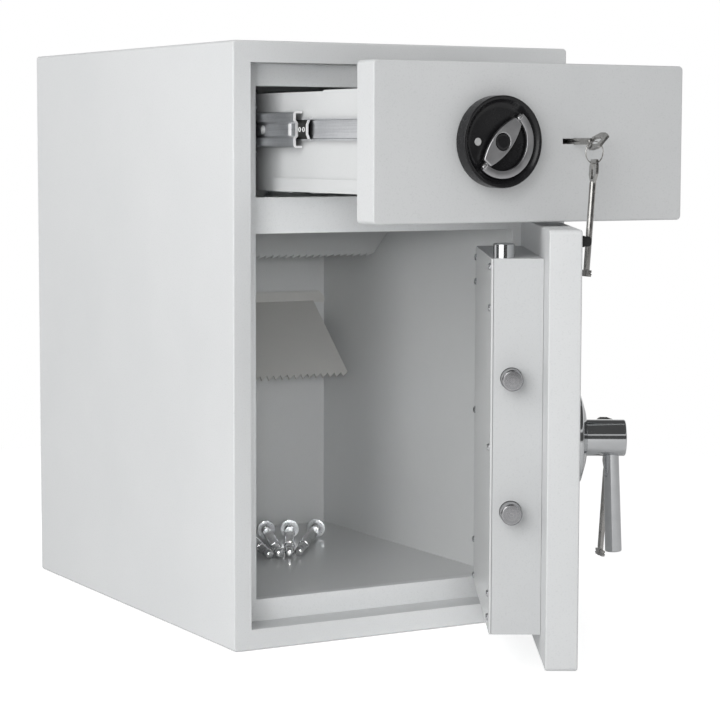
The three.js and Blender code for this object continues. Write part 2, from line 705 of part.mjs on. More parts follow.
function makeDrawer(drawer) {
  const spindleHole = (from, to) => rod("y", turnSpindleRadius + pinClearance, deep(from - cutOverrun),
    deep(to + cutOverrun), [handleFromMiddle, handleHeight]);
  const plate = roundedSlab(spanX(leafHalf), deepSpan(0, drawerPlateThick),
    [drawerPlateBottom, drawerPlateTop], leafCornerRadius, leafEdgeRadius);
  piece(drawer, "drawer_front_plate", cut(plate, spindleHole(0, drawerPlateThick),
    ...keyholeCutters(drawerKeyFromMiddle, keyHeight, 0, drawerPlateThick)), paint);

  const outer = block(spanX(drawerBoxHalf), deepSpan(boxFront, boxBack), [drawerSideBottom, drawerSideTop]);
  const inner = block(spanX(drawerBoxHalf - drawerSheet),
    deepSpan(boxFront + drawerSheet, boxBack - drawerSheet),
    [drawerSideBottom - cutOverrun, drawerSideTop + cutOverrun]);
  const walls = cut(outer, inner, spindleHole(boxFront, boxFront + drawerSheet),
    ...keyholeCutters(drawerKeyFromMiddle, keyHeight, boxFront, boxFront + drawerSheet));
  const sheetSpan = [-drawerBoxHalf, drawerSheet - drawerBoxHalf];
  const stripSpan = [-drawerBoxHalf - stripProud, drawerSheet - drawerBoxHalf];
  const hemZ = [drawerSideTop - hemRise, drawerSideTop + hemRise];
  const stripZ = [drawerSideBottom, drawerSideBottom + stripHeight];
  const folds = [sheetSpan, mirrored(sheetSpan)].map((x) => block(x,
    deepSpan(boxFront, boxFront + hemLength), hemZ));
  const strips = [stripSpan, mirrored(stripSpan)].map((x) => block(x,
    deepSpan(boxFront, boxFront + stripLength), stripZ));
  piece(drawer, "drawer_box", join(walls, ...folds, ...strips), paint);

  const coverHalf = drawerBoxHalf - drawerSheet - lockCoverSideGap;
  const coverTop = drawerSideTop - lockCoverTopGap;
  const coverOuter = block(spanX(coverHalf), deepSpan(coverFront, coverBack), [drawerSideBottom, coverTop]);
  const coverInner = block(spanX(coverHalf - drawerSheet),
    deepSpan(coverFront - cutOverrun, coverBack - drawerSheet),
    [drawerSideBottom - cutOverrun, coverTop - drawerSheet]);
  piece(drawer, "lock_cover", cut(coverOuter, coverInner), paint);
  const rodHalf = drawerBoxHalf - drawerSheet - seat;
  piece(drawer, "tray_rod", rod("x", trayRodRadius, -rodHalf, rodHalf, [deep(trayHingeDeep), trayHingeHeight],
    smallSides), zinc);

  const aroundKey = (half) => [drawerKeyFromMiddle - half, drawerKeyFromMiddle + half];
  const lockCase = block(aroundKey(lockCaseWidth / 2), deepSpan(coverFront, coverFront + lockCaseDeep),
    [lockBottom, keyHeight + lockCaseAbove]);
  const boltChannel = block(aroundKey(deadBoltWidth / 2 + pinClearance),
    deepSpan(latchBlockFront - pinClearance, latchBlockFront + latchBlockDeep + pinClearance),
    [lockBottom - cutOverrun, deadBoltTop + pinClearance]);
  const cavity = keyCavity(drawerKeyFromMiddle, keyHeight, coverFront);
  piece(drawer, "drawer_lock_case", cut(lockCase, cavity, boltChannel), zinc);
  const deadBolt = block(aroundKey(deadBoltWidth / 2),
    deepSpan(latchBlockFront, latchBlockFront + latchBlockDeep), [drawerBoltRest, deadBoltTop]);
  piece(drawer, "dead_bolt", deadBolt, boltSteel);
}

function makeTray(tray) {
  const half = trayHalf;
  const bottom = traySleeveRadius - traySheet;
  const frontEnd = coverBack + trayFrontGap - trayHingeDeep;
  const sheet = block(spanX(half), [frontEnd, 0], [bottom, bottom + traySheet]);
  const lip = block(spanX(half), [frontEnd, frontEnd + traySheet], [bottom, bottom + trayLipHeight]);
  const sleeve = rod("x", traySleeveRadius, traySleeveGap - half, half - traySleeveGap, [0, 0]);
  const bore = rod("x", trayRodRadius + pinClearance, -half, half, [0, 0], smallSides);
  const foot = armHalfHeight * 2;
  const outline = [
    [-foot, -armHalfHeight],
    [armFlat, -armHalfHeight],
    [rollerBehind - armHalfHeight, -rollerDrop - armHalfHeight],
    [rollerBehind + armHalfHeight, -rollerDrop - armHalfHeight],
    [rollerBehind + armHalfHeight, armHalfHeight - rollerDrop],
    [armFlat + armHalfHeight, bottom],
    [-foot, bottom + traySheet],
  ];
  const pinHole = rod("x", rollerPinRadius + pinClearance, -half, half,
    [rollerBehind, -rollerDrop], smallSides);
  const arms = [-1, 1].map((side) => {
    const x = side > 0 ? [armInner, armInner + armThick] : [-armInner - armThick, -armInner];
    return prismX(outline, x[0], x[1]);
  });
  piece(tray, "deposit_tray", cut(join(sheet, lip, sleeve, ...arms), bore, pinHole), zinc);
  for (const side of [-1, 1]) {
    const wheel = [armInner + armThick + seat, armInner + armThick + seat + rollerWidth];
    const pin = [armInner - seat - armThick, armInner + armThick + seat + seat];
    const turn = (x) => (side > 0 ? x : mirrored(x));
    const place = [rollerBehind, -rollerDrop];
    const roller = rod("x", rollerRadius, ...turn(wheel), place, mediumSides);
    const shank = rod("x", rollerPinRadius, ...turn(pin), place, smallSides);
    piece(tray, side > 0 ? "tray_roller_right" : "tray_roller_left", join(roller, shank), zinc);
  }
}

// Round handle: the disc is fixed, the plate, cap and spindle turn, and the half ring folds out
const crankReach = (slideThrow) => slideThrow / Math.SQRT2;

function makeHandle(drawer) {
  const discFront = -seat - handleDiscThick;
  const rimInner = handleDiscRadius - handleRimWidth;
  const disc = turned([
    [turnSpindleRadius + pinClearance, -seat],
    [handleDiscRadius, -seat],
    [handleDiscRadius, discFront + handleRimEdge],
    [handleDiscRadius - handleRimEdge, discFront],
    [rimInner, discFront],
    [rimInner - handleBowlCorner, discFront + handleBowlDeep - handleBowlCorner],
    [handleBowlRadius, discFront + handleBowlDeep],
    [turnSpindleRadius + pinClearance, discFront + handleBowlDeep],
  ], roundSides * 1.5);
  const handle = new THREE.Group();
  handle.position.set(handleFromMiddle, deep(0), handleHeight);
  drawer.add(handle);
  piece(handle, "handle_disc", disc, blackPlastic);

  const turning = new THREE.Group();
  turning.rotation.y = -radians(handleTurnDegrees);
  handle.add(turning);
  const plateFront = discFront + turnPlateDeep;
  const plateBack = plateFront + turnPlateThick;
  const ringMiddle = (plateFront + plateBack) / 2;
  const ringInner = ringOuterRadius - ringWidth;
  const tip = Math.sqrt((ringInner - seat) ** 2 - turnPlateTipHalf ** 2);
  const swell = 2 * turnPlateHalfWidth - turnPlateTipHalf;
  const shape = new THREE.Shape();
  shape.moveTo(-tip, -turnPlateTipHalf);
  shape.quadraticCurveTo(0, -swell, tip, -turnPlateTipHalf);
  shape.lineTo(tip, turnPlateTipHalf);
  shape.quadraticCurveTo(0, swell, -tip, turnPlateTipHalf);
  const lens = new THREE.ExtrudeGeometry(shape,
    { depth: turnPlateThick, bevelEnabled: false, curveSegments: lensArcSteps });
  lens.rotateX(Math.PI / 2).translate(0, plateBack, 0);
  const eye = [ringInner + seat, ringInner + seat + ringEyeLength];
  const bothEnds = (span) => [span, mirrored(span)];
  const pins = bothEnds([tip - ringPinRoot, eye[1]]).map((x) => rod("x", ringPinRadius, x[0], x[1],
    [ringMiddle, 0], smallSides));
  const capHole = rod("y", turnCapRadius + pinClearance,
    plateFront - cutOverrun, plateBack + cutOverrun, [0, 0]);
  piece(turning, "turn_plate", cut(join(solidOf(lens), ...pins), capHole), chrome);

  const reach = crankReach(latchThrow);
  const crankFront = coverFront + seat;
  const crankBack = crankFront + crankThick;
  const spindle = join(
    rod("y", turnCapRadius, plateFront - turnCapProud, plateBack, [0, 0]),
    rod("y", turnSpindleRadius, plateBack - seat, crankFront + seat, [0, 0]),
    rod("y", reach + crankRim, crankFront, crankBack, [0, 0]),
  );
  const pinAngle = Math.PI / 4 - radians(handleTurnDegrees);
  const pinPlace = [reach * Math.cos(pinAngle), reach * Math.sin(pinAngle)];
  const pinEnd = crankBack + workPlateGap + latchThick;
  const crankPin = rod("y", crankPinRadius, crankFront, pinEnd, pinPlace, smallSides);
  piece(turning, "turn_spindle", join(spindle, crankPin), blackPlastic);

  const arc = new THREE.Shape();
  arc.absarc(0, 0, ringOuterRadius, -Math.PI, 0, false);
  arc.lineTo(ringInner, 0);
  arc.absarc(0, 0, ringInner, 0, -Math.PI, true);
  const band = new THREE.ExtrudeGeometry(arc,
    { depth: ringThick, bevelEnabled: false, curveSegments: ringArcSteps });
  band.rotateX(Math.PI / 2).translate(0, ringThick / 2, 0);
  const eyes = bothEnds(eye).map((x) => rod("x", ringEyeRadius, x[0], x[1], [0, 0], smallSides));
  const eyeBore = rod("x", ringPinRadius + pinClearance, -ringOuterRadius - cutOverrun,
    ringOuterRadius + cutOverrun, [0, 0], smallSides);
  const fold = new THREE.Group();
  fold.position.y = ringMiddle;
  turning.add(fold);
  piece(fold, "pull_ring", cut(join(solidOf(band), ...eyes), eyeBore), chrome);

  const plateDeep = crankBack + workPlateGap / 2;
  const pinOffset = latchThrow / 2;
  const slotHalf = crankPinRadius + slotClearance;
  const slotHeight = handleHeight + pinOffset;
  const across = [handleFromMiddle - latchHalfWidth, handleFromMiddle + latchHalfWidth];
  const flat = block(across, deepSpan(plateDeep, plateDeep + latchThick),
    [drawerBoltRest, slotHeight + slotHalf + latchMetal]);
  const foot = block(across, deepSpan(plateDeep, latchBlockFront + latchBlockDeep),
    [drawerBoltRest, drawerBoltRest + latchBlockHeight]);
  const railRoom = block([across[0] - cutOverrun, across[1] + cutOverrun],
    deepSpan(plateDeep - cutOverrun, latchBlockFront), [drawerBoltRest - cutOverrun,
      drawerBoltRest + latchThrow + latchLift]);
  const slot = block([handleFromMiddle + pinOffset - slotHalf, handleFromMiddle + reach + slotHalf],
    deepSpan(plateDeep - cutOverrun, plateDeep + latchThick + cutOverrun),
    [slotHeight - slotHalf, slotHeight + slotHalf]);
  piece(drawer, "latch_bolt", cut(join(flat, foot), railRoom, slot), zinc);
}

// Door: slab, bolt case and cover
const topBoltPlace = [caseLeft + topBoltInset, deep(caseBack - boltRadius)];

function makeDoorLeaf(door) {
  const spindleHole = rod("y", leverSpindleRadius + pinClearance,
    deep(-cutOverrun), deep(doorThick + cutOverrun), [leverAcross, leverHeight]);
  const keyhole = keyholeCutters(doorKeyAcross, leverHeight, 0, doorThick);
  const slab = roundedSlab(spanX(leafHalf), deepSpan(0, doorThick), [doorBottom, doorTop], leafCornerRadius,
    leafEdgeRadius);
  piece(door, "door_slab", cut(slab, spindleHole, ...keyhole), paint);

  const outer = block([caseLeft, caseRight], deepSpan(caseFront, caseBack), [caseBottom, caseTop]);
  const inner = block([caseLeft + caseSheet, caseRight - caseSheet],
    deepSpan(caseFront - cutOverrun, caseBack + cutOverrun), [caseBottom + caseSheet, caseTop - caseSheet]);
  const holeRadius = boltRadius + boltHoleClearance;
  const sideHoles = sideBoltHeights.map((z) => rod("x", holeRadius, caseLeft - cutOverrun,
    caseLeft + caseSheet + cutOverrun, [deep(sideBoltDeep), z]));
  const topHole = rod("z", holeRadius, caseTop - caseSheet - cutOverrun, caseTop + cutOverrun, topBoltPlace);
  const studs = studHeights.map((z) => rod("x", studRadius, caseRight - caseSheet, caseRight + studProud,
    [deep(studDeep), z], mediumSides));
  piece(door, "bolt_case", join(cut(outer, inner, ...sideHoles, topHole), ...studs), paint);

  const cover = block([caseLeft, caseRight], deepSpan(caseBack + seat, caseBack + seat + innerCoverThick),
    [caseBottom, caseTop]);
  piece(door, "inner_cover", cover, paint);

  const lock = block([doorKeyAcross - doorLockWidth / 2, doorKeyAcross + doorLockWidth / 2],
    deepSpan(caseFront, caseFront + doorLockThick),
    [leverHeight - doorLockHeight / 2, leverHeight + doorLockHeight / 2]);
  piece(door, "door_lock_case", cut(lock, keyCavity(doorKeyAcross, leverHeight, caseFront)), zinc);

  const buffer = rod("y", bufferRadius, deep(-seat - bufferProud), deep(-seat),
    [bufferFromFreeEdge - leafHalf, doorTop - bufferFromTop], mediumSides);
  piece(door, "rubber_buffer", buffer, rubber);
}

// Bolt work inside the case: the crank's two pins run in slots of the carrier and of the top bolt's link
const leverCrankFront = caseFront + crankFromSlab;
const armFront = leverCrankFront + crankThick + workPlateGap;
const linkFront = armFront + carrierArmThick + workPlateGap;

// A bolt from its butt to its chamfered tip, the tip last
function boltSolid(axis, butt, tip, across) {
  const length = Math.abs(tip - butt);
  const profile = [
    [0, 0],
    [boltRadius, 0],
    [boltRadius, length - boltChamfer],
    [boltRadius - boltChamfer, length],
    [0, length],
  ];
  const geometry = new THREE.LatheGeometry(profile.map(([r, y]) => new THREE.Vector2(r, y)), roundSides);
  if (axis === "x") geometry.rotateZ(Math.PI / 2).translate(butt, across[0], across[1]);
  if (axis === "z") geometry.rotateX(Math.PI / 2).translate(across[0], across[1], butt);
  return solidOf(geometry);
}

function makeBoltWork(door) {
  const tip = caseLeft - sideBoltProud;
  const butt = tip + sideBoltLength;
  ["side_bolt_upper", "side_bolt_lower"].forEach((name, i) => {
    piece(door, name, boltSolid("x", butt, tip, [deep(sideBoltDeep), sideBoltHeights[i]]), boltSteel);
  });
  const barLeft = butt + seat;
  const bar = block([barLeft, barLeft + carrierThick], deepSpan(armFront, sideBoltDeep + boltRadius),
    [sideBoltHeights[1] - carrierOverhang, sideBoltHeights[0] + carrierOverhang]);
  const slotHalf = crankPinRadius + slotClearance;
  const metal = crankPinRadius;
  const reach = crankReach(sideBoltThrow);
  const slotAcross = leverAcross + sideBoltThrow / 2;
  const slotTop = leverHeight - sideBoltThrow / 2 + slotHalf;
  const slotBottom = leverHeight - reach - slotHalf;
  const armBottom = slotBottom - metal * 2;
  const armY = deepSpan(armFront, armFront + carrierArmThick);
  const arm = block([barLeft, slotAcross + slotHalf + metal], armY, [armBottom, leverHeight - reach + metal]);
  const bump = block([slotAcross - slotHalf - metal, slotAcross + slotHalf + metal], armY,
    [armBottom, slotTop + metal]);
  const slot = block([slotAcross - slotHalf, slotAcross + slotHalf],
    [armY[0] - cutOverrun, armY[1] + cutOverrun], [slotBottom, slotTop]);
  piece(door, "bolt_carrier", cut(join(bar, arm, bump), slot), zinc);

  const topTip = caseTop + topBoltProud;
  const topButt = topTip - topBoltLengthShare * caseHeight;
  piece(door, "top_bolt", boltSolid("z", topButt, topTip, topBoltPlace), boltSteel);
  const linkReach = crankReach(topBoltThrow);
  const linkSlotHeight = leverHeight - topBoltThrow / 2;
  const linkSlotRight = leverAcross - topBoltThrow / 2 + slotHalf;
  const linkY = deepSpan(linkFront, linkFront + linkThick);
  const barRight = leverAcross - linkBarFromSpindle + linkBarWidth / 2;
  const footTop = topButt - seat;
  const footAcross = [topBoltPlace[0] - boltRadius, topBoltPlace[0] + boltRadius];
  const upright = block([barRight - linkBarWidth, barRight], linkY,
    [linkSlotHeight - slotHalf - metal, footTop]);
  const tail = block([barRight - metal, linkSlotRight + metal], linkY,
    [linkSlotHeight - slotHalf - metal, linkSlotHeight + slotHalf + metal]);
  const shelf = block([footAcross[0], barRight], linkY, [footTop - linkTopHeight, footTop]);
  const foot = block(footAcross, [linkY[0], topBoltPlace[1] + boltRadius],
    [footTop - linkFootHeight, footTop]);
  const linkSlot = block([leverAcross - linkReach - slotHalf, linkSlotRight],
    [linkY[0] - cutOverrun, linkY[1] + cutOverrun], [linkSlotHeight - slotHalf, linkSlotHeight + slotHalf]);
  piece(door, "top_link", cut(join(upright, tail, shelf, foot), linkSlot), zinc);
}

function makeLever(door) {
  const handle = new THREE.Group();
  handle.position.set(leverAcross, deep(0), leverHeight);
  door.add(handle);
  const bore = leverSpindleRadius + pinClearance;
  const rosette = turned([
    [bore, -seat],
    [rosetteRadius, -seat],
    [rosetteRadius, rosetteEdge - rosetteThick],
    [rosetteRadius - rosetteEdge, -rosetteThick],
    [rosetteCrownRadius, -rosetteCrown],
    [bore, -rosetteCrown],
  ], roundSides * 1.5);
  piece(handle, "rosette", rosette, chrome);

  const hubStart = -rosetteCrown - seat;
  const hub = turned([
    [0, hubStart],
    [hubRadius, hubStart],
    [hubRadius, hubEdge - hubEnd],
    [hubRadius - hubEdge, -hubEnd],
    [0, -hubEnd],
  ]);
  piece(handle, "lever_hub", hub, chrome);
  const profile = [[0, 0], [leverTopRadius, 0], [leverTipRadius, leverTipEdge - leverLength],
    [leverTipRadius - leverTipEdge, -leverLength], [0, -leverLength]];
  const outline = profile.reverse().map(([r, y]) => new THREE.Vector2(r, y));
  const arm = new THREE.LatheGeometry(outline, mediumSides);
  arm.rotateX(Math.PI / 2 - radians(leverSplayDegrees)).translate(0, -leverOut, 0);
  const hubRoom = rod("y", hubRadius + seat, -hubEnd, 0, [0, 0]);
  piece(handle, "lever_arm", cut(solidOf(arm), hubRoom), chrome);

  const spindleEnd = leverCrankFront + crankThick;
  const carrierReach = crankReach(sideBoltThrow);
  const linkReach = crankReach(topBoltThrow);
  const pinA = [carrierReach * Math.cos(-Math.PI / 4), carrierReach * Math.sin(-Math.PI / 4)];
  const pinB = [linkReach * Math.cos(-0.75 * Math.PI), linkReach * Math.sin(-0.75 * Math.PI)];
  const spindle = join(
    rod("y", leverSpindleRadius, seat + hubStart, leverCrankFront + seat, [0, 0]),
    rod("y", carrierReach + crankRim, leverCrankFront, spindleEnd, [0, 0]),
    rod("y", crankPinRadius, leverCrankFront + seat, armFront + carrierArmThick + seat, pinA, smallSides),
    rod("y", crankPinRadius, leverCrankFront + seat, linkFront + linkThick + seat, pinB, smallSides),
  );
  piece(handle, "lever_spindle", spindle, zinc);
}

function makeHinges(cabinet, door) {
  const axis = [hingeAxisAcross, deep(-hingeAxisProud)];
  const names = ["lower", "upper"];
  const web = [axis[0] - hingeWebHalf, axis[0] + hingeWebHalf];
  hingeHeights.forEach((z, i) => {
    const bodyZ = [z - knuckleLength, z];
    const doorZ = [z + knuckleGap, z + knuckleGap + knuckleLength];
    const bore = rod("z", hingePinRadius + pinClearance, z, doorZ[1] + cutOverrun, axis, smallSides);
    const pin = rod("z", hingePinRadius, z - knuckleGap, doorZ[1] - knuckleGap, axis, smallSides);
    const bodyWeb = block([web[0], bodyWidth / 2 - casingEdgeRadius], [axis[1], deep(-seat)], bodyZ);
    const doorWeb = block([leafHalf - hingePlateReach, axis[0]],
      [deep(-seat - hingePlateThick), deep(-seat)], doorZ);
    const doorNeck = block([web[0] - hingeWebHalf, axis[0]], [axis[1], deep(-seat)], doorZ);
    const bodyHalf = join(rod("z", knuckleRadius, ...bodyZ, axis), bodyWeb, pin);
    const doorHalf = cut(join(rod("z", knuckleRadius, ...doorZ, axis), doorWeb, doorNeck), bore);
    piece(cabinet, "hinge_body_" + names[i], bodyHalf, paint);
    piece(door, "hinge_door_" + names[i], doorHalf, paint);
  });
}

// Loose anchor bolts fanned out on the floor, each with its sleeve, washer and nut
function makeAnchors(cabinet) {
  const nutEnd = anchorLength - anchorEndProud;
  const nutStart = nutEnd - anchorNutLength;
  const washerStart = nutStart - anchorWasherThick;
  const along = (radius, from, to, sides) => turned(
    [[0, from], [radius, from], [radius, to], [0, to]], sides);
  const solid = join(
    along(anchorRadius, 0, anchorLength, smallSides),
    along(anchorSleeveRadius, anchorSleeveStart, anchorSleeveStart + anchorSleeveLength, smallSides),
    along(anchorNutRadius, nutStart, nutEnd, nutSides),
    along(anchorWasherRadius, washerStart, nutStart, mediumSides),
  );
  const lean = Math.asin((anchorWasherRadius - anchorRadius) / washerStart);
  anchorFanDegrees.forEach((fan, i) => {
    const anchor = piece(cabinet, "anchor_bolt_" + (i + 1), solid, zinc);
    anchor.position.set(anchorFirstTip + i * anchorTipSpacing, deep(linerBack - anchorTipsFromBack),
      linerFloor + anchorRadius + seat);
    anchor.rotation.set(lean, 0, -radians(fan), "ZXY");
  });
}

const cabinet = makeCabinet();
const drawer = new THREE.Group();
drawer.position.y = -drawerPull;
const middle = new THREE.Group();
middle.position.y = -drawerPull / 2;
const door = new THREE.Group();
const hinged = new THREE.Group();
hinged.position.set(hingeAxisAcross, deep(-hingeAxisProud), 0);
hinged.rotation.z = radians(doorOpenDegrees);
door.position.set(-hingeAxisAcross, -deep(-hingeAxisProud), 0);
hinged.add(door);
safe.add(middle, drawer, hinged);

makeChute(cabinet);
makeSlides(cabinet, middle, drawer);
makeDrawer(drawer);
const tray = new THREE.Group();
tray.position.set(0, deep(trayHingeDeep), trayHingeHeight);
drawer.add(tray);
makeTray(tray);
makeHandle(drawer);
addKey(drawer, "drawer_key", drawerKeyFromMiddle, keyHeight, drawerKeyOutside, drawerKeyTurnDegrees, 0);
makeDoorLeaf(door);
makeBoltWork(door);
makeLever(door);
addKey(door, "door_key", doorKeyAcross, leverHeight, doorKeyOutside, doorKeyTurnDegrees,
  bowHoleRadius - keyRingTube - seat);
makeHinges(cabinet, door);
makeAnchors(cabinet);

export default safe;
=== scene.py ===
import json
import math

import bmesh
import bpy
from mathutils import Matrix, Vector


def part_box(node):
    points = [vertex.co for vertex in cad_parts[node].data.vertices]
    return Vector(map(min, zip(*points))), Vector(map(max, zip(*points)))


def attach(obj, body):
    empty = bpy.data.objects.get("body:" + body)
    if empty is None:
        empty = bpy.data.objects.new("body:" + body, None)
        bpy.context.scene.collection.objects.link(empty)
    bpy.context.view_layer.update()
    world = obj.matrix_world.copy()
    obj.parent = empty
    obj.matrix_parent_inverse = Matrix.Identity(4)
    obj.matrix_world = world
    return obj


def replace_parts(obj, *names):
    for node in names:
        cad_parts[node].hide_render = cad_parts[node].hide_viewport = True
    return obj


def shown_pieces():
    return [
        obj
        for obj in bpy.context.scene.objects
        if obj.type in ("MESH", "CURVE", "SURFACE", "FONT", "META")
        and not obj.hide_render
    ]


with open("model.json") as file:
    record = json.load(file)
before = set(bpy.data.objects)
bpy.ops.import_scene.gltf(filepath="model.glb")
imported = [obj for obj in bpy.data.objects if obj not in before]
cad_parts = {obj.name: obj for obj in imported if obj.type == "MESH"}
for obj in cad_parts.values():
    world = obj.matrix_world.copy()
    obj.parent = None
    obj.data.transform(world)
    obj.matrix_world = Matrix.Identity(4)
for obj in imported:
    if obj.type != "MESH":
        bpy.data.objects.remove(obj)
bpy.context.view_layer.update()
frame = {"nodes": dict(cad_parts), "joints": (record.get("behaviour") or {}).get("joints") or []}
mm = 0.001
joints = {joint["name"]: joint for joint in frame["joints"]}


def addObject(name, data):
    made = bpy.data.objects.new(name, data)
    bpy.context.scene.collection.objects.link(made)
    return made


# Camera, set where the photograph was taken from
photoCamera = {
    "place": (-1.1808, -2.2394, 0.4998),  # metres
    "turnedRight": 29.61,  # degrees away from looking straight at the front
    "tiltedDown": 5.40,
    "rolled": 0.15,
    "lens": 113.97,
    "sensor": 36.0,
}


def makeCamera():
    lens = bpy.data.cameras.new("photoCamera")
    lens.lens = photoCamera["lens"]
    lens.sensor_width = photoCamera["sensor"]
    camera = addObject("photoCamera", lens)
    turn = Matrix.Rotation(-math.radians(photoCamera["turnedRight"]), 4, "Z")
    tilt = Matrix.Rotation(math.radians(90 - photoCamera["tiltedDown"]), 4, "X")
    roll = Matrix.Rotation(math.radians(photoCamera["rolled"]), 4, "Z")
    camera.matrix_world = Matrix.Translation(photoCamera["place"]) @ turn @ tilt @ roll
    bpy.context.scene.camera = camera


makeCamera()
print("camera placed")


# Node helpers
def addNode(tree, kind, inputs=None, **settings):
    made = tree.nodes.new("ShaderNode" + kind)
    for key, value in settings.items():
        setattr(made, key, value)
    for key, value in (inputs or {}).items():
        if isinstance(value, bpy.types.NodeSocket):
            tree.links.new(value, made.inputs[key])
        else:
            made.inputs[key].default_value = value
    return made


def math2(tree, operation, first, second=0.0):
    return addNode(tree, "Math", {0: first, 1: second}, operation=operation).outputs[0]


def spread(tree, value, low, high, toLow=0.0, toHigh=1.0):
    inputs = {"Value": value, "From Min": low, "From Max": high, "To Min": toLow, "To Max": toHigh}
    return addNode(tree, "MapRange", inputs).outputs[0]


def blendColours(tree, mask, first, second):
    inputs = {0: mask, 6: (*first, 1) if isinstance(first, tuple) else first, 7: (*second, 1)}
    return addNode(tree, "Mix", inputs, data_type="RGBA").outputs[2]


def ownPlace(tree):
    # where a point lies on its own piece
    return addNode(tree, "TexCoord").outputs["Object"]


def stretch(tree, place, factors):
    return addNode(tree, "VectorMath", {0: place, 1: factors}, operation="MULTIPLY").outputs[0]


def noise(tree, place, scale, detail, roughness=0.5):
    inputs = {"Vector": place, "Scale": scale, "Detail": detail, "Roughness": roughness}
    return addNode(tree, "TexNoise", inputs).outputs["Fac"]


def newGroup(name, inputs, outputs):
    tree = bpy.data.node_groups.new(name, "ShaderNodeTree")
    for label, value in inputs.items():
        kind = "NodeSocketVector" if isinstance(value, tuple) else "NodeSocketFloat"
        socket = tree.interface.new_socket(name=label, in_out="INPUT", socket_type=kind)
        socket.default_value = value
    for label in outputs:
        tree.interface.new_socket(name=label, in_out="OUTPUT", socket_type="NodeSocketFloat")
    return tree, tree.nodes.new("NodeGroupInput").outputs, tree.nodes.new("NodeGroupOutput").inputs


def perLength(tree, size):
    # turns a feature size in millimetres into a texture scale
    return math2(tree, "DIVIDE", 1 / mm, size)


# Powder coat: a fine orange peel with tiny darker flecks
def makeCoatGrain():
    tree, given, out = newGroup("coatGrain", {"Grain": 1.0, "Flecks": 0.5}, ["Height", "Fleck"])
    place = ownPlace(tree)
    scale = perLength(tree, given["Grain"])
    peel = noise(tree, place, scale, 2.0, 0.55)
    inputs = {"Vector": place, "Scale": scale, "Smoothness": 0.6}
    cells = addNode(tree, "TexVoronoi", inputs, feature="SMOOTH_F1").outputs["Distance"]
    tree.links.new(math2(tree, "ADD", peel, math2(tree, "MULTIPLY", cells, 0.45)), out["Height"])
    flecks = noise(tree, place, math2(tree, "MULTIPLY", scale, 0.6), 1.0)
    mask = spread(tree, flecks, 0.56, 0.72)
    tree.links.new(math2(tree, "MULTIPLY", mask, given["Flecks"]), out["Fleck"])
    return tree


# Slow changes of tone and gloss over a surface
def makeBroadTone():
    tree, given, out = newGroup("broadTone", {"Patch": 120.0, "Contrast": 1.0}, ["Tone"])
    clouds = noise(tree, ownPlace(tree), perLength(tree, given["Patch"]), 4.0, 0.6)
    tone = math2(tree, "MULTIPLY_ADD", math2(tree, "SUBTRACT", clouds, 0.5), given["Contrast"])
    tone.node.inputs[2].default_value = 0.5
    tree.links.new(tone, out["Tone"])
    return tree


# Long thin streaks, as rolling, drawing or brushing leaves them
def makeDrawnStreaks():
    settings = {"Stretch": (1.0, 0.02, 1.0), "Width": 0.5}
    tree, given, out = newGroup("drawnStreaks", settings, ["Height", "Shade"])
    pulled = stretch(tree, ownPlace(tree), given["Stretch"])
    scale = perLength(tree, given["Width"])
    fine = noise(tree, pulled, scale, 3.0, 0.7)
    wide = noise(tree, pulled, math2(tree, "MULTIPLY", scale, 0.12), 2.0)
    tree.links.new(fine, out["Height"])
    tree.links.new(spread(tree, math2(tree, "ADD", fine, wide), 0.7, 1.3), out["Shade"])
    return tree


# Rings left by a lathe round the piece's own long axis
def makeLatheRings():
    tree, given, out = newGroup("latheRings", {"Pitch": 0.5}, ["Height", "Shade"])
    parts = addNode(tree, "SeparateXYZ", {0: ownPlace(tree)}).outputs
    flat = addNode(tree, "CombineXYZ", {0: parts[0], 1: parts[1]}).outputs[0]
    radius = addNode(tree, "VectorMath", {0: flat}, operation="LENGTH").outputs["Value"]
    along = math2(tree, "ADD", radius, parts[2])
    inputs = {"W": along, "Scale": perLength(tree, given["Pitch"]), "Detail": 2.0}
    rings = addNode(tree, "TexNoise", inputs, noise_dimensions="1D").outputs["Fac"]
    tree.links.new(rings, out["Height"])
    tree.links.new(spread(tree, rings, 0.3, 0.7), out["Shade"])
    return tree


# Mask along sharp edges, broken up by noise: real wear on the metals, keys and plastics, and on the paints
# a painted highlight along their edges
def makeEdgeWearAndHighlight():
    tree, given, out = newGroup("edgeWearAndHighlight", {"Reach": 0.6, "Broken": 8.0}, ["Mask"])
    reach = math2(tree, "MULTIPLY", given["Reach"], mm)
    rounded = addNode(tree, "Bevel", {"Radius": reach}, samples=4).outputs["Normal"]
    facing = addNode(tree, "NewGeometry").outputs["Normal"]
    match = addNode(tree, "VectorMath", {0: rounded, 1: facing}, operation="DOT_PRODUCT").outputs["Value"]
    edge = spread(tree, match, 0.995, 0.90)
    patches = noise(tree, ownPlace(tree), perLength(tree, given["Broken"]), 3.0)
    tree.links.new(math2(tree, "MULTIPLY", edge, spread(tree, patches, 0.38, 0.62)), out["Mask"])
    return tree


# Hairline marks from handling, in two crossing directions
def makeHairlines():
    tree, given, out = newGroup("hairlines", {"Spacing": 4.0, "Amount": 0.5}, ["Mask"])
    place = ownPlace(tree)
    scale = perLength(tree, given["Spacing"])
    layers = []
    for turned in (0.6, -0.9):
        inputs = {"Vector": place, "Angle": turned}
        leaning = addNode(tree, "VectorRotate", inputs, rotation_type="Y_AXIS").outputs[0]
        lines = noise(tree, stretch(tree, leaning, (1.0, 1.0, 0.08)), scale, 1.0)
        away = math2(tree, "ABSOLUTE", math2(tree, "SUBTRACT", lines, 0.5))
        layers.append(spread(tree, away, 0.012, 0.002))
    strongest = math2(tree, "MAXIMUM", *layers)
    tree.links.new(math2(tree, "MULTIPLY", strongest, given["Amount"]), out["Mask"])
    return tree


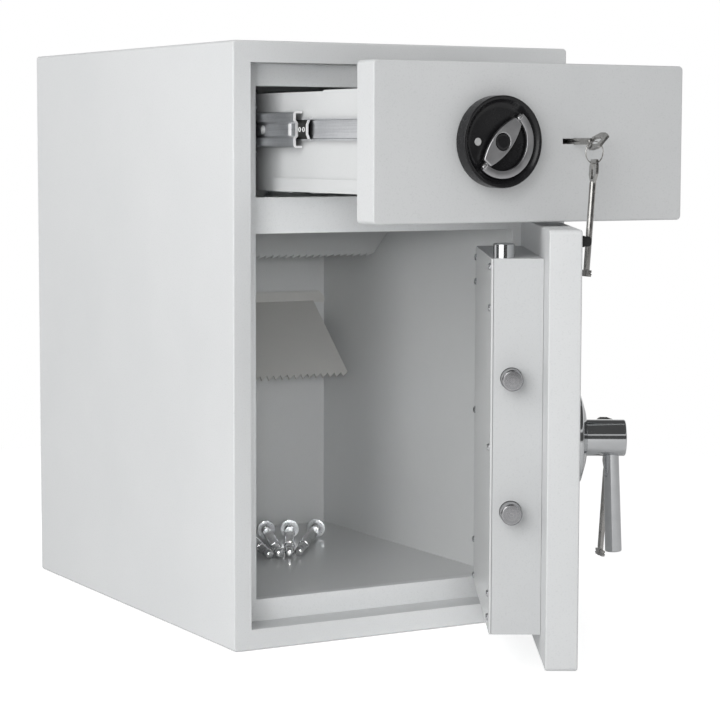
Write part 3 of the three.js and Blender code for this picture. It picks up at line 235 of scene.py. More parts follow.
# Faint crystals of zinc plate, or the grit of concrete
def makeMottle():
    tree, given, out = newGroup("mottle", {"Size": 2.0, "Depth": 0.5}, ["Height", "Shade"])
    place = ownPlace(tree)
    scale = perLength(tree, given["Size"])
    cells = addNode(tree, "TexVoronoi", {"Vector": place, "Scale": scale, "Randomness": 1.0})
    value = addNode(tree, "SeparateColor", {0: cells.outputs["Color"]}).outputs[0]
    grains = noise(tree, place, scale, 6.0, 0.65)
    tree.links.new(math2(tree, "MULTIPLY", grains, given["Depth"]), out["Height"])
    tree.links.new(math2(tree, "MULTIPLY", math2(tree, "ADD", value, grains), 0.5), out["Shade"])
    return tree


coatGrain = makeCoatGrain()
broadTone = makeBroadTone()
drawnStreaks = makeDrawnStreaks()
latheRings = makeLatheRings()
edgeWearAndHighlight = makeEdgeWearAndHighlight()
hairlines = makeHairlines()
mottle = makeMottle()
print("effects ready")


def useGroup(tree, group, **values):
    made = addNode(tree, "Group", node_tree=group)
    for label, value in values.items():
        made.inputs[label].default_value = value
    return made.outputs


def newMaterial(name, **constants):
    material = bpy.data.materials.new(name)
    material.use_nodes = True
    tree = material.node_tree
    shader = tree.nodes["Principled BSDF"]
    for label, value in constants.items():
        shader.inputs[label.replace("_", " ")].default_value = value
    return material, tree, shader


def feed(shader, label, value):
    shader.id_data.links.new(value, shader.inputs[label])


def glossFrom(tree, tone, rough):
    # roughness that goes with the tone, from the first value to the second
    return spread(tree, tone, 0.2, 0.8, *rough)


def bumpFrom(tree, shader, height, strength, depth):
    inputs = {"Height": height, "Strength": strength, "Distance": depth * mm}
    feed(shader, "Normal", addNode(tree, "Bump", inputs).outputs["Normal"])


# Painted sheet: the same build for every paint, each with its own settings
paints = {
    # 'edge' is a paler colour along sharp edges: a painted highlight
    "pearlGreyPaint": {
        "colour": (0.600, 0.612, 0.618), "pale": (0.660, 0.668, 0.672), "edge": (0.76, 0.765, 0.765),
        "grain": 0.9, "flecks": 0.35, "rough": (0.40, 0.54), "peel": 0.22, "gloss": 0.0,
    },
    # darker copy of the pearl grey paint: painted shade for the bolt case
    "caseGreyShadedPaint": {
        "colour": (0.525, 0.536, 0.541), "pale": (0.580, 0.588, 0.592), "edge": (0.68, 0.685, 0.685),
        "grain": 0.9, "flecks": 0.35, "rough": (0.40, 0.54), "peel": 0.22, "gloss": 0.0,
    },
    "innerGreyPaint": {
        "colour": (0.595, 0.606, 0.608), "pale": (0.655, 0.664, 0.666), "edge": (0.74, 0.745, 0.745),
        "grain": 0.7, "flecks": 0.25, "rough": (0.31, 0.41), "peel": 0.15, "gloss": 0.35,
    },
    "baffleGreyPaint": {
        "colour": (0.555, 0.552, 0.535), "pale": (0.610, 0.606, 0.586), "edge": (0.70, 0.70, 0.68),
        "grain": 0.7, "flecks": 0.25, "rough": (0.34, 0.46), "peel": 0.15, "gloss": 0.0,
    },
}


fleckShade = 0.88  # how much of the paint's colour its flecks keep


def makePaint(name):
    look = paints[name]
    material, tree, shader = newMaterial(name, Coat_Weight=look["gloss"], Coat_Roughness=0.14)
    grain = useGroup(tree, coatGrain, Grain=look["grain"], Flecks=look["flecks"])
    tone = useGroup(tree, broadTone, Patch=140.0, Contrast=1.4)["Tone"]
    wear = useGroup(tree, edgeWearAndHighlight, Reach=0.9, Broken=14.0)["Mask"]
    body = blendColours(tree, tone, look["colour"], look["pale"])
    dark = tuple(part * fleckShade for part in look["colour"])
    flecked = blendColours(tree, grain["Fleck"], body, dark)
    # painted highlight: along sharp edges the paint turns halfway towards its paler edge colour
    paintedEdgeHighlight = math2(tree, "MULTIPLY", wear, 0.5)
    feed(shader, "Base Color", blendColours(tree, paintedEdgeHighlight, flecked, look["edge"]))
    feed(shader, "Roughness", glossFrom(tree, tone, look["rough"]))
    bumpFrom(tree, shader, grain["Height"], look["peel"], 0.12)
    return material


# Zinc plated sheet, with streaks along one direction
zincs = {
    "zincSheet": {"dark": (0.50, 0.51, 0.53), "bright": (0.72, 0.74, 0.76), "rough": (0.26, 0.42),
                  "stretch": (1.0, 0.03, 1.0), "width": 0.6, "crystals": 1.0},
    "slideZinc": {"dark": (0.60, 0.61, 0.63), "bright": (0.74, 0.75, 0.77), "rough": (0.28, 0.36),
                  "stretch": (1.0, 0.012, 1.0), "width": 0.5, "crystals": 0.3},
}


rubbedZinc = (0.88, 0.89, 0.90)


def makeZinc(name):
    look = zincs[name]
    material, tree, shader = newMaterial(name, Metallic=1.0)
    streaks = useGroup(tree, drawnStreaks, Stretch=look["stretch"], Width=look["width"])
    crystals = useGroup(tree, mottle, Size=2.4, Depth=0.4)
    wear = useGroup(tree, edgeWearAndHighlight, Reach=0.5, Broken=6.0)["Mask"]
    share = look["crystals"]
    speckle = math2(tree, "MULTIPLY", crystals["Shade"], share)
    both = math2(tree, "ADD", streaks["Shade"], speckle)
    mixed = spread(tree, both, 0.25 + 0.25 * share, 0.75 + 0.75 * share)
    colour = blendColours(tree, mixed, look["dark"], look["bright"])
    feed(shader, "Base Color", blendColours(tree, wear, colour, rubbedZinc))
    smooth, rough = look["rough"]
    feed(shader, "Roughness", spread(tree, mixed, 0.0, 1.0, rough, smooth))
    bumpFrom(tree, shader, streaks["Height"], 0.12 * share, 0.04)
    return material


rubbedSteel = (0.86, 0.86, 0.86)  # what shows on worn edges of chrome and steel


# Chrome plate: polished for the lever and small fittings, satin for the turning plate and pull ring
chromes = {
    "polishedChrome": {"colour": (0.52, 0.53, 0.54), "bright": (0.60, 0.61, 0.62), "rough": (0.05, 0.10),
                       "marks": 0.3, "brush": 0.02, "wear": 0.12},
    "satinChrome": {"colour": (0.48, 0.48, 0.49), "bright": (0.60, 0.60, 0.61), "rough": (0.28, 0.40),
                    "marks": 0.2, "brush": 0.2, "wear": 0.9},
}


def makeChrome(name):
    look = chromes[name]
    material, tree, shader = newMaterial(name, Metallic=1.0)
    tone = useGroup(tree, broadTone, Patch=18.0, Contrast=1.6)["Tone"]
    marks = useGroup(tree, hairlines, Spacing=3.0, Amount=look["marks"])["Mask"]
    brush = useGroup(tree, drawnStreaks, Stretch=(0.04, 1.0, 1.0), Width=0.25)
    wear = useGroup(tree, edgeWearAndHighlight, Reach=0.4, Broken=5.0)["Mask"]
    colour = blendColours(tree, tone, look["colour"], look["bright"])
    bare = math2(tree, "MULTIPLY", wear, look["wear"])
    feed(shader, "Base Color", blendColours(tree, bare, colour, rubbedSteel))
    gloss = glossFrom(tree, tone, look["rough"])
    dulled = math2(tree, "MULTIPLY", marks, 0.25)
    feed(shader, "Roughness", math2(tree, "ADD", gloss, dulled))
    bumpFrom(tree, shader, brush["Height"], look["brush"], 0.03)
    return material


# Bare turned steel: dull on the bolts, bright on the anchors and the pull ring's hinges
steels = {
    "turnedSteel": {"dark": (0.27, 0.27, 0.28), "bright": (0.46, 0.46, 0.47), "rough": (0.20, 0.30)},
    "brightSteel": {"dark": (0.42, 0.42, 0.43), "bright": (0.92, 0.92, 0.92), "rough": (0.14, 0.24)},
}


def makeSteel(name):
    look = steels[name]
    material, tree, shader = newMaterial(name, Metallic=1.0)
    rings = useGroup(tree, latheRings, Pitch=0.7)
    tone = useGroup(tree, broadTone, Patch=22.0, Contrast=1.5)["Tone"]
    wear = useGroup(tree, edgeWearAndHighlight, Reach=0.5, Broken=4.0)["Mask"]
    shade = spread(tree, math2(tree, "ADD", rings["Shade"], tone), 0.4, 1.6)
    colour = blendColours(tree, shade, look["dark"], look["bright"])
    feed(shader, "Base Color", blendColours(tree, wear, colour, rubbedSteel))
    smooth, rough = look["rough"]
    feed(shader, "Roughness", spread(tree, shade, 0.0, 1.0, rough, smooth))
    bumpFrom(tree, shader, rings["Height"], 0.25, 0.05)
    return material


# Nickel of the keys: bright, with pocket wear
nickel = {
    "dark": (0.30, 0.295, 0.285), "bright": (0.50, 0.49, 0.475), "rubbed": (0.85, 0.84, 0.82),
    "rough": (0.16, 0.30),
}


def makeKeyNickel():
    material, tree, shader = newMaterial("keyNickel", Metallic=1.0)
    tone = useGroup(tree, broadTone, Patch=9.0, Contrast=1.8)["Tone"]
    marks = useGroup(tree, hairlines, Spacing=1.6, Amount=0.7)["Mask"]
    grain = useGroup(tree, mottle, Size=0.8, Depth=0.6)
    wear = useGroup(tree, edgeWearAndHighlight, Reach=0.4, Broken=3.0)["Mask"]
    colour = blendColours(tree, tone, nickel["dark"], nickel["bright"])
    feed(shader, "Base Color", blendColours(tree, wear, colour, nickel["rubbed"]))
    gloss = glossFrom(tree, tone, nickel["rough"])
    dulled = math2(tree, "MULTIPLY", marks, 0.2)
    feed(shader, "Roughness", math2(tree, "ADD", gloss, dulled))
    bumpFrom(tree, shader, grain["Height"], 0.10, 0.04)
    return material


# Black plastics and rubber
blacks = {
    "blackHandlePlastic": {"dark": (0.007, 0.007, 0.008), "pale": (0.013, 0.013, 0.014),
                           "rough": (0.22, 0.30), "grain": 0.5, "depth": 0.04, "shine": 0.36},
    "blackCagePlastic": {"dark": (0.010, 0.010, 0.010), "pale": (0.020, 0.020, 0.020),
                         "rough": (0.40, 0.55), "grain": 0.4, "depth": 0.15, "shine": 0.22},
    "blackRubber": {"dark": (0.014, 0.014, 0.014), "pale": (0.030, 0.030, 0.030),
                    "rough": (0.62, 0.80), "grain": 0.35, "depth": 0.30, "shine": 0.3},
}


def makeBlack(name):
    look = blacks[name]
    material, tree, shader = newMaterial(name, Specular_IOR_Level=look["shine"])
    grain = useGroup(tree, coatGrain, Grain=look["grain"], Flecks=0.6)
    tone = useGroup(tree, broadTone, Patch=12.0, Contrast=1.6)["Tone"]
    wear = useGroup(tree, edgeWearAndHighlight, Reach=0.5, Broken=3.0)["Mask"]
    body = blendColours(tree, tone, look["dark"], look["pale"])
    rubbed = math2(tree, "MULTIPLY", wear, 0.6)
    feed(shader, "Base Color", blendColours(tree, rubbed, body, (0.09, 0.09, 0.09)))
    feed(shader, "Roughness", glossFrom(tree, tone, look["rough"]))
    bumpFrom(tree, shader, grain["Height"], look["depth"], 0.06)
    return material


# Pale plastic of the index dot
dot = {"dark": (0.40, 0.40, 0.40), "pale": (0.52, 0.52, 0.52), "rough": (0.38, 0.5)}


def makeDotWhite():
    material, tree, shader = newMaterial("dotWhite")
    tone = useGroup(tree, broadTone, Patch=3.0, Contrast=1.5)["Tone"]
    grain = useGroup(tree, coatGrain, Grain=0.4, Flecks=0.4)
    body = blendColours(tree, tone, dot["dark"], dot["pale"])
    feed(shader, "Base Color", blendColours(tree, grain["Fleck"], body, dot["dark"]))
    feed(shader, "Roughness", glossFrom(tree, tone, dot["rough"]))
    bumpFrom(tree, shader, grain["Height"], 0.1, 0.05)
    return material


# Barrier filling, seen only through the bolt pockets
filling = {"dark": (0.25, 0.245, 0.23), "pale": (0.36, 0.35, 0.325), "grit": (0.46, 0.45, 0.42)}


def makeConcrete():
    material, tree, shader = newMaterial("barrierConcrete", Roughness=0.92)
    grit = useGroup(tree, mottle, Size=3.0, Depth=1.0)
    tone = useGroup(tree, broadTone, Patch=60.0, Contrast=1.6)["Tone"]
    body = blendColours(tree, tone, filling["dark"], filling["pale"])
    shade = spread(tree, grit["Shade"], 0.2, 0.8)
    speckled = math2(tree, "MULTIPLY", shade, 0.5)
    feed(shader, "Base Color", blendColours(tree, speckled, body, filling["grit"]))
    bumpFrom(tree, shader, grit["Height"], 0.6, 0.6)
    return material


# Pale matt steel for the slides' small fittings, and for the rims at the front ends of the slide members
# and ball cages, where it is a painted highlight standing in for the bright reflection off the cut edges
fittingAndSheen = {"dark": (0.78, 0.78, 0.79), "bright": (0.93, 0.93, 0.93), "rough": (0.42, 0.60)}


def makeFittingSteelAndSheen():
    material, tree, shader = newMaterial("fittingSteelAndSheen", Metallic=0.35)
    tone = useGroup(tree, broadTone, Patch=7.0, Contrast=1.6)["Tone"]
    grain = useGroup(tree, mottle, Size=0.7, Depth=0.6)
    colour = blendColours(tree, tone, fittingAndSheen["dark"], fittingAndSheen["bright"])
    feed(shader, "Base Color", colour)
    feed(shader, "Roughness", glossFrom(tree, tone, fittingAndSheen["rough"]))
    bumpFrom(tree, shader, grain["Height"], 0.2, 0.05)
    return material


paintNames = ("pearlGreyPaint", "caseGreyShadedPaint", "innerGreyPaint", "baffleGreyPaint")
pearlGreyPaint, caseGreyShadedPaint, innerGreyPaint, baffleGreyPaint = (makePaint(name) for name in paintNames)
zincSheet, slideZinc = (makeZinc(name) for name in ("zincSheet", "slideZinc"))
polishedChrome, satinChrome = (makeChrome(name) for name in ("polishedChrome", "satinChrome"))
turnedSteel, brightSteel = (makeSteel(name) for name in ("turnedSteel", "brightSteel"))
keyNickel = makeKeyNickel()
fittingSteelAndSheen = makeFittingSteelAndSheen()
blackNames = ("blackHandlePlastic", "blackCagePlastic", "blackRubber")
blackHandlePlastic, blackCagePlastic, blackRubber = (makeBlack(name) for name in blackNames)
dotWhite = makeDotWhite()
barrierConcrete = makeConcrete()
print("finishes ready")


# Shading helpers for the CAD pieces that stay: their flat triangles are merged and their edges rounded
dressed = {
    "weldWithin": 0.01,  # millimetres
    "flatWithin": 0.6,  # degrees between faces that count as one
    "sharpFrom": 34.0,  # degrees between faces with a sharp edge
}


def makeAngleShading():
    group = bpy.data.node_groups.new("shadeByAngle", "GeometryNodeTree")
    for inOut in ("INPUT", "OUTPUT"):
        group.interface.new_socket(name="Geometry", in_out=inOut, socket_type="NodeSocketGeometry")
    start = group.nodes.new("NodeGroupInput")
    end = group.nodes.new("NodeGroupOutput")
    plain = group.nodes.new("GeometryNodeRemoveAttribute")
    plain.inputs["Name"].default_value = "custom_normal"
    smooth = group.nodes.new("GeometryNodeSetShadeSmooth")
    sharp = group.nodes.new("GeometryNodeSetShadeSmooth")
    sharp.domain = "EDGE"
    sharp.inputs["Shade Smooth"].default_value = False
    bend = group.nodes.new("GeometryNodeInputMeshEdgeAngle")
    over = group.nodes.new("FunctionNodeCompare")
    over.operation = "GREATER_THAN"
    over.inputs[1].default_value = math.radians(dressed["sharpFrom"])
    group.links.new(start.outputs[0], plain.inputs[0])
    group.links.new(plain.outputs[0], smooth.inputs[0])
    group.links.new(smooth.outputs[0], sharp.inputs[0])
    group.links.new(bend.outputs[0], over.inputs[0])
    group.links.new(over.outputs[0], sharp.inputs["Selection"])
    group.links.new(sharp.outputs[0], end.inputs[0])
    return group


shadeByAngle = makeAngleShading()


def roundEdges(piece, width, segments, fromAngle):
    rounded = piece.modifiers.new("Rounded edges", "BEVEL")
    rounded.width = width * mm
    rounded.segments = segments
    rounded.limit_method = "ANGLE"
    rounded.angle_limit = math.radians(fromAngle)
    return rounded


def dressNode(name, material, edge):
    node = frame["nodes"][name]
    for slot in node.material_slots:
        slot.link = "OBJECT"
        slot.material = material
    weld = node.modifiers.new("Weld", "WELD")
    weld.merge_threshold = dressed["weldWithin"] * mm
    flat = node.modifiers.new("Merge flats", "DECIMATE")
    flat.decimate_type = "DISSOLVE"
    flat.angle_limit = math.radians(dressed["flatWithin"])
    if edge:
        roundEdges(node, edge, 2, dressed["sharpFrom"])
    node.modifiers.new("Shade", "NODES").node_group = shadeByAngle
    node.modifiers.new("Even shading", "WEIGHTED_NORMAL").keep_sharp = True


# Each carried-over piece with its finish and the rounding of its edges in millimetres
dressing = {
    pearlGreyPaint: {"outer_casing": 0.6, "stop_frame": 0.8, "drawer_front_plate": 0.5, "door_slab": 0.5,
                     "hinge_body_lower": 0.4, "hinge_body_upper": 0.4,
                     "hinge_door_lower": 0.4, "hinge_door_upper": 0.4},
    # bolt case in the darker copy of the paint, a painted shade
    caseGreyShadedPaint: {"bolt_case": 0.8},
    innerGreyPaint: {"inner_liner": 0.5, "chute_deck": 0.3, "drawer_box": 0.4, "inner_cover": 0.5},
    baffleGreyPaint: {"lower_baffle": 0.3},
    barrierConcrete: {"barrier_filling": 0},
    zincSheet: {"tilt_track_left": 0.3, "tilt_track_right": 0.3, "lock_cover": 0.4, "tray_rod": 0.2,
                "drawer_lock_case": 0.5, "deposit_tray": 0.3, "tray_roller_left": 0.2,
                "tray_roller_right": 0.2, "door_lock_case": 0.6, "bolt_carrier": 0.5, "top_link": 0.4,
                "slide_cabinet_left": 0.3, "slide_cabinet_right": 0.3},
    turnedSteel: {"latch_bolt": 0.3, "dead_bolt": 0.5, "lever_spindle": 0.3},
}
for finish, names in dressing.items():
    for nodeName, edgeRadius in names.items():
        dressNode(nodeName, finish, edgeRadius)
print("carried-over pieces dressed")


# Mesh helpers. A corner is (across, up) or (across, up, radius of its rounding)
def softened(corners, closed=True, steps=6):
    path = []
    last = len(corners) - 1
    for index, corner in enumerate(corners):
        here = Vector(corner[:2])
        radius = corner[2] if len(corner) > 2 else 0
        if radius == 0 or (not closed and index in (0, last)):
            path.append(here)
            continue
        toBefore = (Vector(corners[index - 1][:2]) - here).normalized()
        toAfter = (Vector(corners[(index + 1) % len(corners)][:2]) - here).normalized()
        half = toBefore.angle(toAfter) / 2
        centre = here + (toBefore + toAfter).normalized() * radius / math.sin(half)
        start = here + toBefore * radius / math.tan(half) - centre
        end = here + toAfter * radius / math.tan(half) - centre
        first = math.atan2(start.y, start.x)
        swing = (math.atan2(end.y, end.x) - first + math.pi) % (2 * math.pi) - math.pi
        for step in range(steps + 1):
            angle = first + swing * step / steps
            path.append(centre + Vector((math.cos(angle), math.sin(angle))) * radius)
    return path


joinWithin = 0.002  # millimetres


def finishMesh(name, shape):
    bmesh.ops.remove_doubles(shape, verts=shape.verts, dist=joinWithin)
    bmesh.ops.recalc_face_normals(shape, faces=shape.faces)
    bmesh.ops.scale(shape, vec=(mm, mm, mm), verts=shape.verts)
    mesh = bpy.data.meshes.new(name)
    shape.to_mesh(mesh)
    shape.free()
    return mesh


def bridge(shape, low, high, closed=True):
    count = max(len(low), len(high))
    for k in range(count if closed else count - 1):
        after = k + 1
        corners = (low[k % len(low)], low[after % len(low)], high[after % len(high)], high[k % len(high)])
        unique = list(dict.fromkeys(corners))
        if len(unique) > 2:
            shape.faces.new(unique)


def bridgeAll(shape, rows):
    for low, high in zip(rows, rows[1:]):
        bridge(shape, low, high)


def ringOf(shape, radius, height, sides, centre=(0, 0, 0)):
    # a level ring of points, or a single point on the axis
    turns = [2 * math.pi * k / sides for k in range(sides if radius > 1e-6 else 1)]
    around = [Vector((radius * math.cos(t), radius * math.sin(t), height)) for t in turns]
    return [shape.verts.new(Vector(centre) + point) for point in around]


# Round piece from a profile of (radius, along) corners, in millimetres, round its own Z axis
def turnedMesh(name, profile, sides=72, hollow=False):
    shape = bmesh.new()
    rows = [ringOf(shape, radius, along, sides) for radius, along in softened(profile, hollow)]
    bridgeAll(shape, rows + rows[:1] if hollow else rows)
    return finishMesh(name, shape)


# Flat piece cut to an outline, from one height to another, with an optional hole of as many points
def cutMesh(name, outline, low, high, hole=None):
    shape = bmesh.new()
    loops = [[shape.verts.new((*point, height)) for point in outline] for height in (low, high)]
    bridge(shape, *loops)
    if hole:
        inside = [[shape.verts.new((*point, height)) for point in hole] for height in (low, high)]
        bridge(shape, *inside)
        for outer, inner in zip(loops, inside):
            bridge(shape, outer, inner)
    else:
        for loop in loops:
            shape.faces.new(loop)
    return finishMesh(name, shape)


# Sheet bent along a line of (across, up) corners, drawn out along the safe's depth
def bentSheetMesh(name, corners, thick, fromDeep, toDeep):
    line = softened(corners, closed=False, steps=5)
    sides = ([], [])
    for index, here in enumerate(line):
        along = (line[min(index + 1, len(line) - 1)] - line[max(index - 1, 0)]).normalized()
        across = Vector((-along.y, along.x)) * thick / 2
        sides[0].append(here + across)
        sides[1].append(here - across)
    outline = sides[0] + sides[1][::-1]
    shape = bmesh.new()
    depths = (fromDeep, toDeep)
    ends = [[shape.verts.new((point.x, deep, point.y)) for point in outline] for deep in depths]
    bridge(shape, *ends)
    count = len(line)
    for end in ends:
        bridge(shape, end[:count], end[count:][::-1], closed=False)
    return finishMesh(name, shape)


# Round bar or wire along points in millimetres
def wireMesh(name, points, radius, closed=False, sides=10):
    curve = bpy.data.curves.new(name, "CURVE")
    curve.dimensions = "3D"
    curve.bevel_depth = radius * mm
    curve.bevel_resolution = max(1, sides // 2 - 2)
    curve.use_fill_caps = True
    line = curve.splines.new("POLY")
    line.points.add(len(points) - 1)
    for place, point in zip(line.points, points):
        place.co = (*(Vector(point) * mm), 1)
    line.use_cyclic_u = closed
    carrier = addObject(name, curve)
    ready = carrier.evaluated_get(bpy.context.evaluated_depsgraph_get())
    mesh = bpy.data.meshes.new_from_object(ready)
    bpy.data.objects.remove(carrier)
    bpy.data.curves.remove(curve)
    mesh.name = name
    return mesh


def addPiece(mesh, material, body, place=None, bevel=0.0, smooth=35):
    piece = addObject(mesh.name, mesh)
    mesh.materials.clear()
    mesh.materials.append(material)
    mesh.polygons.foreach_set("use_smooth", [True] * len(mesh.polygons))
    mesh.set_sharp_from_angle(angle=math.radians(smooth))
    if place is not None:
        piece.matrix_world = place
    if bevel:
        roundEdges(piece, bevel, 3, 40).harden_normals = True
    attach(piece, body)
    return piece


def move(x, y, z):
    return Matrix.Translation((x * mm, y * mm, z * mm))


def turn(degrees, axis):
    return Matrix.Rotation(math.radians(degrees), 4, axis)


def span(node, place=None):
    # a node's lowest and highest corners in millimetres, also as it stands when the door is shut
    back = (place or Matrix.Identity(4)).inverted()
    points = [back @ vertex.co for vertex in frame["nodes"][node].data.vertices]
    return [Vector([pick(point[k] for point in points) / mm for k in range(3)]) for pick in (min, max)]


# outwards turns local Z to the safe's front
outwards = Matrix(((1, 0, 0, 0), (0, 0, -1, 0), (0, 1, 0, 0), (0, 0, 0, 1)))
swing = joints["door_swing"]
hinge = Matrix.Translation(swing["pos_m"])
doorPlace = hinge @ turn(-swing["range_deg"][0], "Z") @ hinge.inverted()  # from shut to as photographed


# Round handle: disc with its bowl, index dot, turning plate with pins, cap and pull ring
handle = {
    "rimWidth": 2.6, "rimRound": 0.9, "rimInside": 3.4,
    "bowlDeep": 7.0, "bowlWall": 34.6, "bowlRound": 8.0, "boreRadius": 5.4, "play": 0.3,
    "backChamfer": 0.6, "floorRise": 0.5, "floorDip": 0.2,
    "dotFromCentre": 23.4, "dotRadius": 3.6, "dotProud": 0.5,
    "plateHalfLength": 25.7, "plateHalfWidth": 10.4, "plateTipHalf": 4.6,
    "plateEdge": 1.2, "plateSteps": 28,
    "pinRadius": 1.4, "pinInside": 3.0,
    "capRadius": 7.5, "capCrown": 0.5, "crownInside": 2.0, "spindleRadius": 5.0,
    "ringInner": 26.5, "ringOuter": 33.5, "ringHalf": 1.5, "ringSteps": 72,
    "eyeRadius": 2.8, "eyeLength": 5.0,
}


def makeHandle():
    low, high = span("handle_disc")
    radius = (high.x - low.x) / 2
    middle = (low + high) / 2
    thick = high.y - low.y
    disc = move(middle.x, high.y, middle.z) @ outwards
    inner = radius - handle["rimWidth"]
    floor = thick - handle["bowlDeep"]
    chamfer = handle["backChamfer"]
    profile = [
        (handle["boreRadius"], 0), (radius - chamfer, 0, 0.3), (radius, chamfer, 0.4),
        (radius, thick, handle["rimRound"]), (inner, thick, handle["rimInside"]),
        (handle["bowlWall"], floor + handle["floorRise"], handle["bowlRound"]),
        (handle["boreRadius"], floor - handle["floorDip"], 0.3),
    ]
    mesh = turnedMesh("handleDisc", profile, 128, hollow=True)
    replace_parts(addPiece(mesh, blackHandlePlastic, "drawer", disc), "handle_disc")

    dotRadius, proud = handle["dotRadius"], handle["dotProud"]
    profile = [(0, 0), (dotRadius, 0), (dotRadius, proud, 0.3), (0, proud)]
    dotPlace = disc @ move(-handle["dotFromCentre"], 0, floor)
    addPiece(turnedMesh("indexDot", profile, 48), dotWhite, "drawer", dotPlace)

    foldAxis = joints["ring_fold"]["axis"]
    leaned = disc @ Matrix.Rotation(math.atan2(-foldAxis[2], -foldAxis[0]), 4, "Z")
    plateLow, plateHigh = span("turn_plate")
    back, face = high.y - plateHigh.y, high.y - plateLow.y
    half, wide, tip = handle["plateHalfLength"], handle["plateHalfWidth"], handle["plateTipHalf"]
    swell = 2 * wide - tip
    steps = [k / handle["plateSteps"] for k in range(handle["plateSteps"] + 1)]
    bow = [(-half * (1 - t) ** 2 + half * t ** 2, -tip * ((1 - t) ** 2 + t ** 2) - 2 * swell * t * (1 - t))
           for t in steps]
    outline = bow + [(-x, -y) for x, y in bow]
    boreEdge = [Vector((x, y)).normalized() * (handle["capRadius"] + handle["play"]) for x, y in outline]
    plate = addPiece(cutMesh("turningPlate", outline, back, face, boreEdge), satinChrome, "turning_handle",
                     leaned, bevel=handle["plateEdge"])
    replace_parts(plate, "turn_plate")

    reach = handle["ringInner"] + handle["eyeLength"] + handle["play"]
    pinLength = reach - half + handle["pinInside"]
    pinRadius = handle["pinRadius"]
    profile = [(0, 0), (pinRadius, 0), (pinRadius, pinLength, 0.5), (0, pinLength)]
    pinDeep = high.y - joints["ring_fold"]["pos_m"][1] / mm
    for side in (0, 180):
        pinPlace = leaned @ move(0, 0, pinDeep) @ turn(side, "Z") @ move(half - handle["pinInside"], 0, 0)
        mesh = turnedMesh("hingePin" + str(side), profile, 32)
        addPiece(mesh, brightSteel, "turning_handle", pinPlace @ turn(90, "Y"))

    spindleLow, spindleHigh = span("turn_spindle")
    front, rear = high.y - spindleLow.y, high.y - spindleHigh.y
    capRadius = handle["capRadius"]
    profile = [
        (0, back + 0.2), (capRadius, back + 0.2), (capRadius, front - handle["capCrown"], 0.4),
        (capRadius - handle["crownInside"], front, 1.5), (0, front),
    ]
    mesh = turnedMesh("turningCap", profile, 64)
    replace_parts(addPiece(mesh, blackHandlePlastic, "turning_handle", disc), "turn_spindle")
    makeCrank(disc, back, rear)
    makePullRing(leaned, pinDeep)


crank = {
    "thick": 5.0, "rimRadius": 13.5,
    "pinRadius": 3.0, "pinReach": 8.4853, "pinTurn": -2.0, "pinLength": 6.0,
}


def makeCrank(disc, plateBack, rear):
    # the spindle behind the handle, with the crank disc and pin that lift the latch
    crankBack = rear + crank["pinLength"]
    crankFront = crankBack + crank["thick"]
    radius = handle["spindleRadius"]
    profile = [
        (0, crankBack), (crank["rimRadius"], crankBack, 0.5), (crank["rimRadius"], crankFront, 0.5),
        (radius, crankFront, 0.8), (radius, plateBack + 0.2), (0, plateBack + 0.2),
    ]
    addPiece(turnedMesh("handleSpindle", profile, 64), turnedSteel, "turning_handle", disc)
    profile = [(0, rear), (crank["pinRadius"], rear, 0.4), (crank["pinRadius"], crankBack), (0, crankBack)]
    pinPlace = disc @ turn(crank["pinTurn"], "Z") @ move(crank["pinReach"], 0, 0)
    addPiece(turnedMesh("crankPin", profile, 32), turnedSteel, "turning_handle", pinPlace)


def makePullRing(leaned, pinDeep):
    # half ring on the lower right, its ends closed round the hinge pins
    inner, outer = handle["ringInner"], handle["ringOuter"]
    half = handle["ringHalf"]
    corners = [(inner, -half, 0.4), (outer, -half, 0.4), (outer, half, 0.45), (inner, half, 0.45)]
    section = softened(corners, steps=3)
    shape = bmesh.new()
    rows = []
    steps = handle["ringSteps"]
    for k in range(steps + 1):
        angle = -math.pi * k / steps
        cos, sin = math.cos(angle), math.sin(angle)
        rows.append([shape.verts.new((radius * cos, radius * sin, height)) for radius, height in section])
    bridgeAll(shape, rows)
    for end in (rows[0], rows[-1]):
        shape.faces.new(end)
    deepPlace = leaned @ move(0, 0, pinDeep)
    ring = addPiece(finishMesh("pullRing", shape), satinChrome, "pull_ring", deepPlace)
    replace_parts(ring, "pull_ring")
    eye, bore, length = handle["eyeRadius"], handle["pinRadius"] + 0.25, handle["eyeLength"]
    profile = [(bore, 0, 0.2), (eye, 0, 0.5), (eye, length, 0.5), (bore, length, 0.2)]
    for side in (0, 180):
        eyePlace = deepPlace @ turn(side, "Z") @ move(inner + handle["play"], 0, 0) @ turn(90, "Y")
        mesh = turnedMesh("ringEye" + str(side), profile, 40, hollow=True)
        addPiece(mesh, brightSteel, "pull_ring", eyePlace)


makeHandle()
print("handle made")


# Door furniture: rosette, hub, lever, rubber buffer
lever = {
    "rosetteThick": 12.5, "rimLower": 0.8, "crownRadius": 26.0, "rosetteEdge": 2.4, "crownRound": 14.0,
    "hubRadius": 17.5, "hubEdge": 1.6, "hubChamfer": 0.8, "faceInside": 4.0, "dishInside": 6.0,
    "topRadius": 7.2, "tipRadius": 8.0, "tipEdge": 1.6, "splay": 2.0,
    "armInHub": 3.0, "armInwards": 1.5,
}


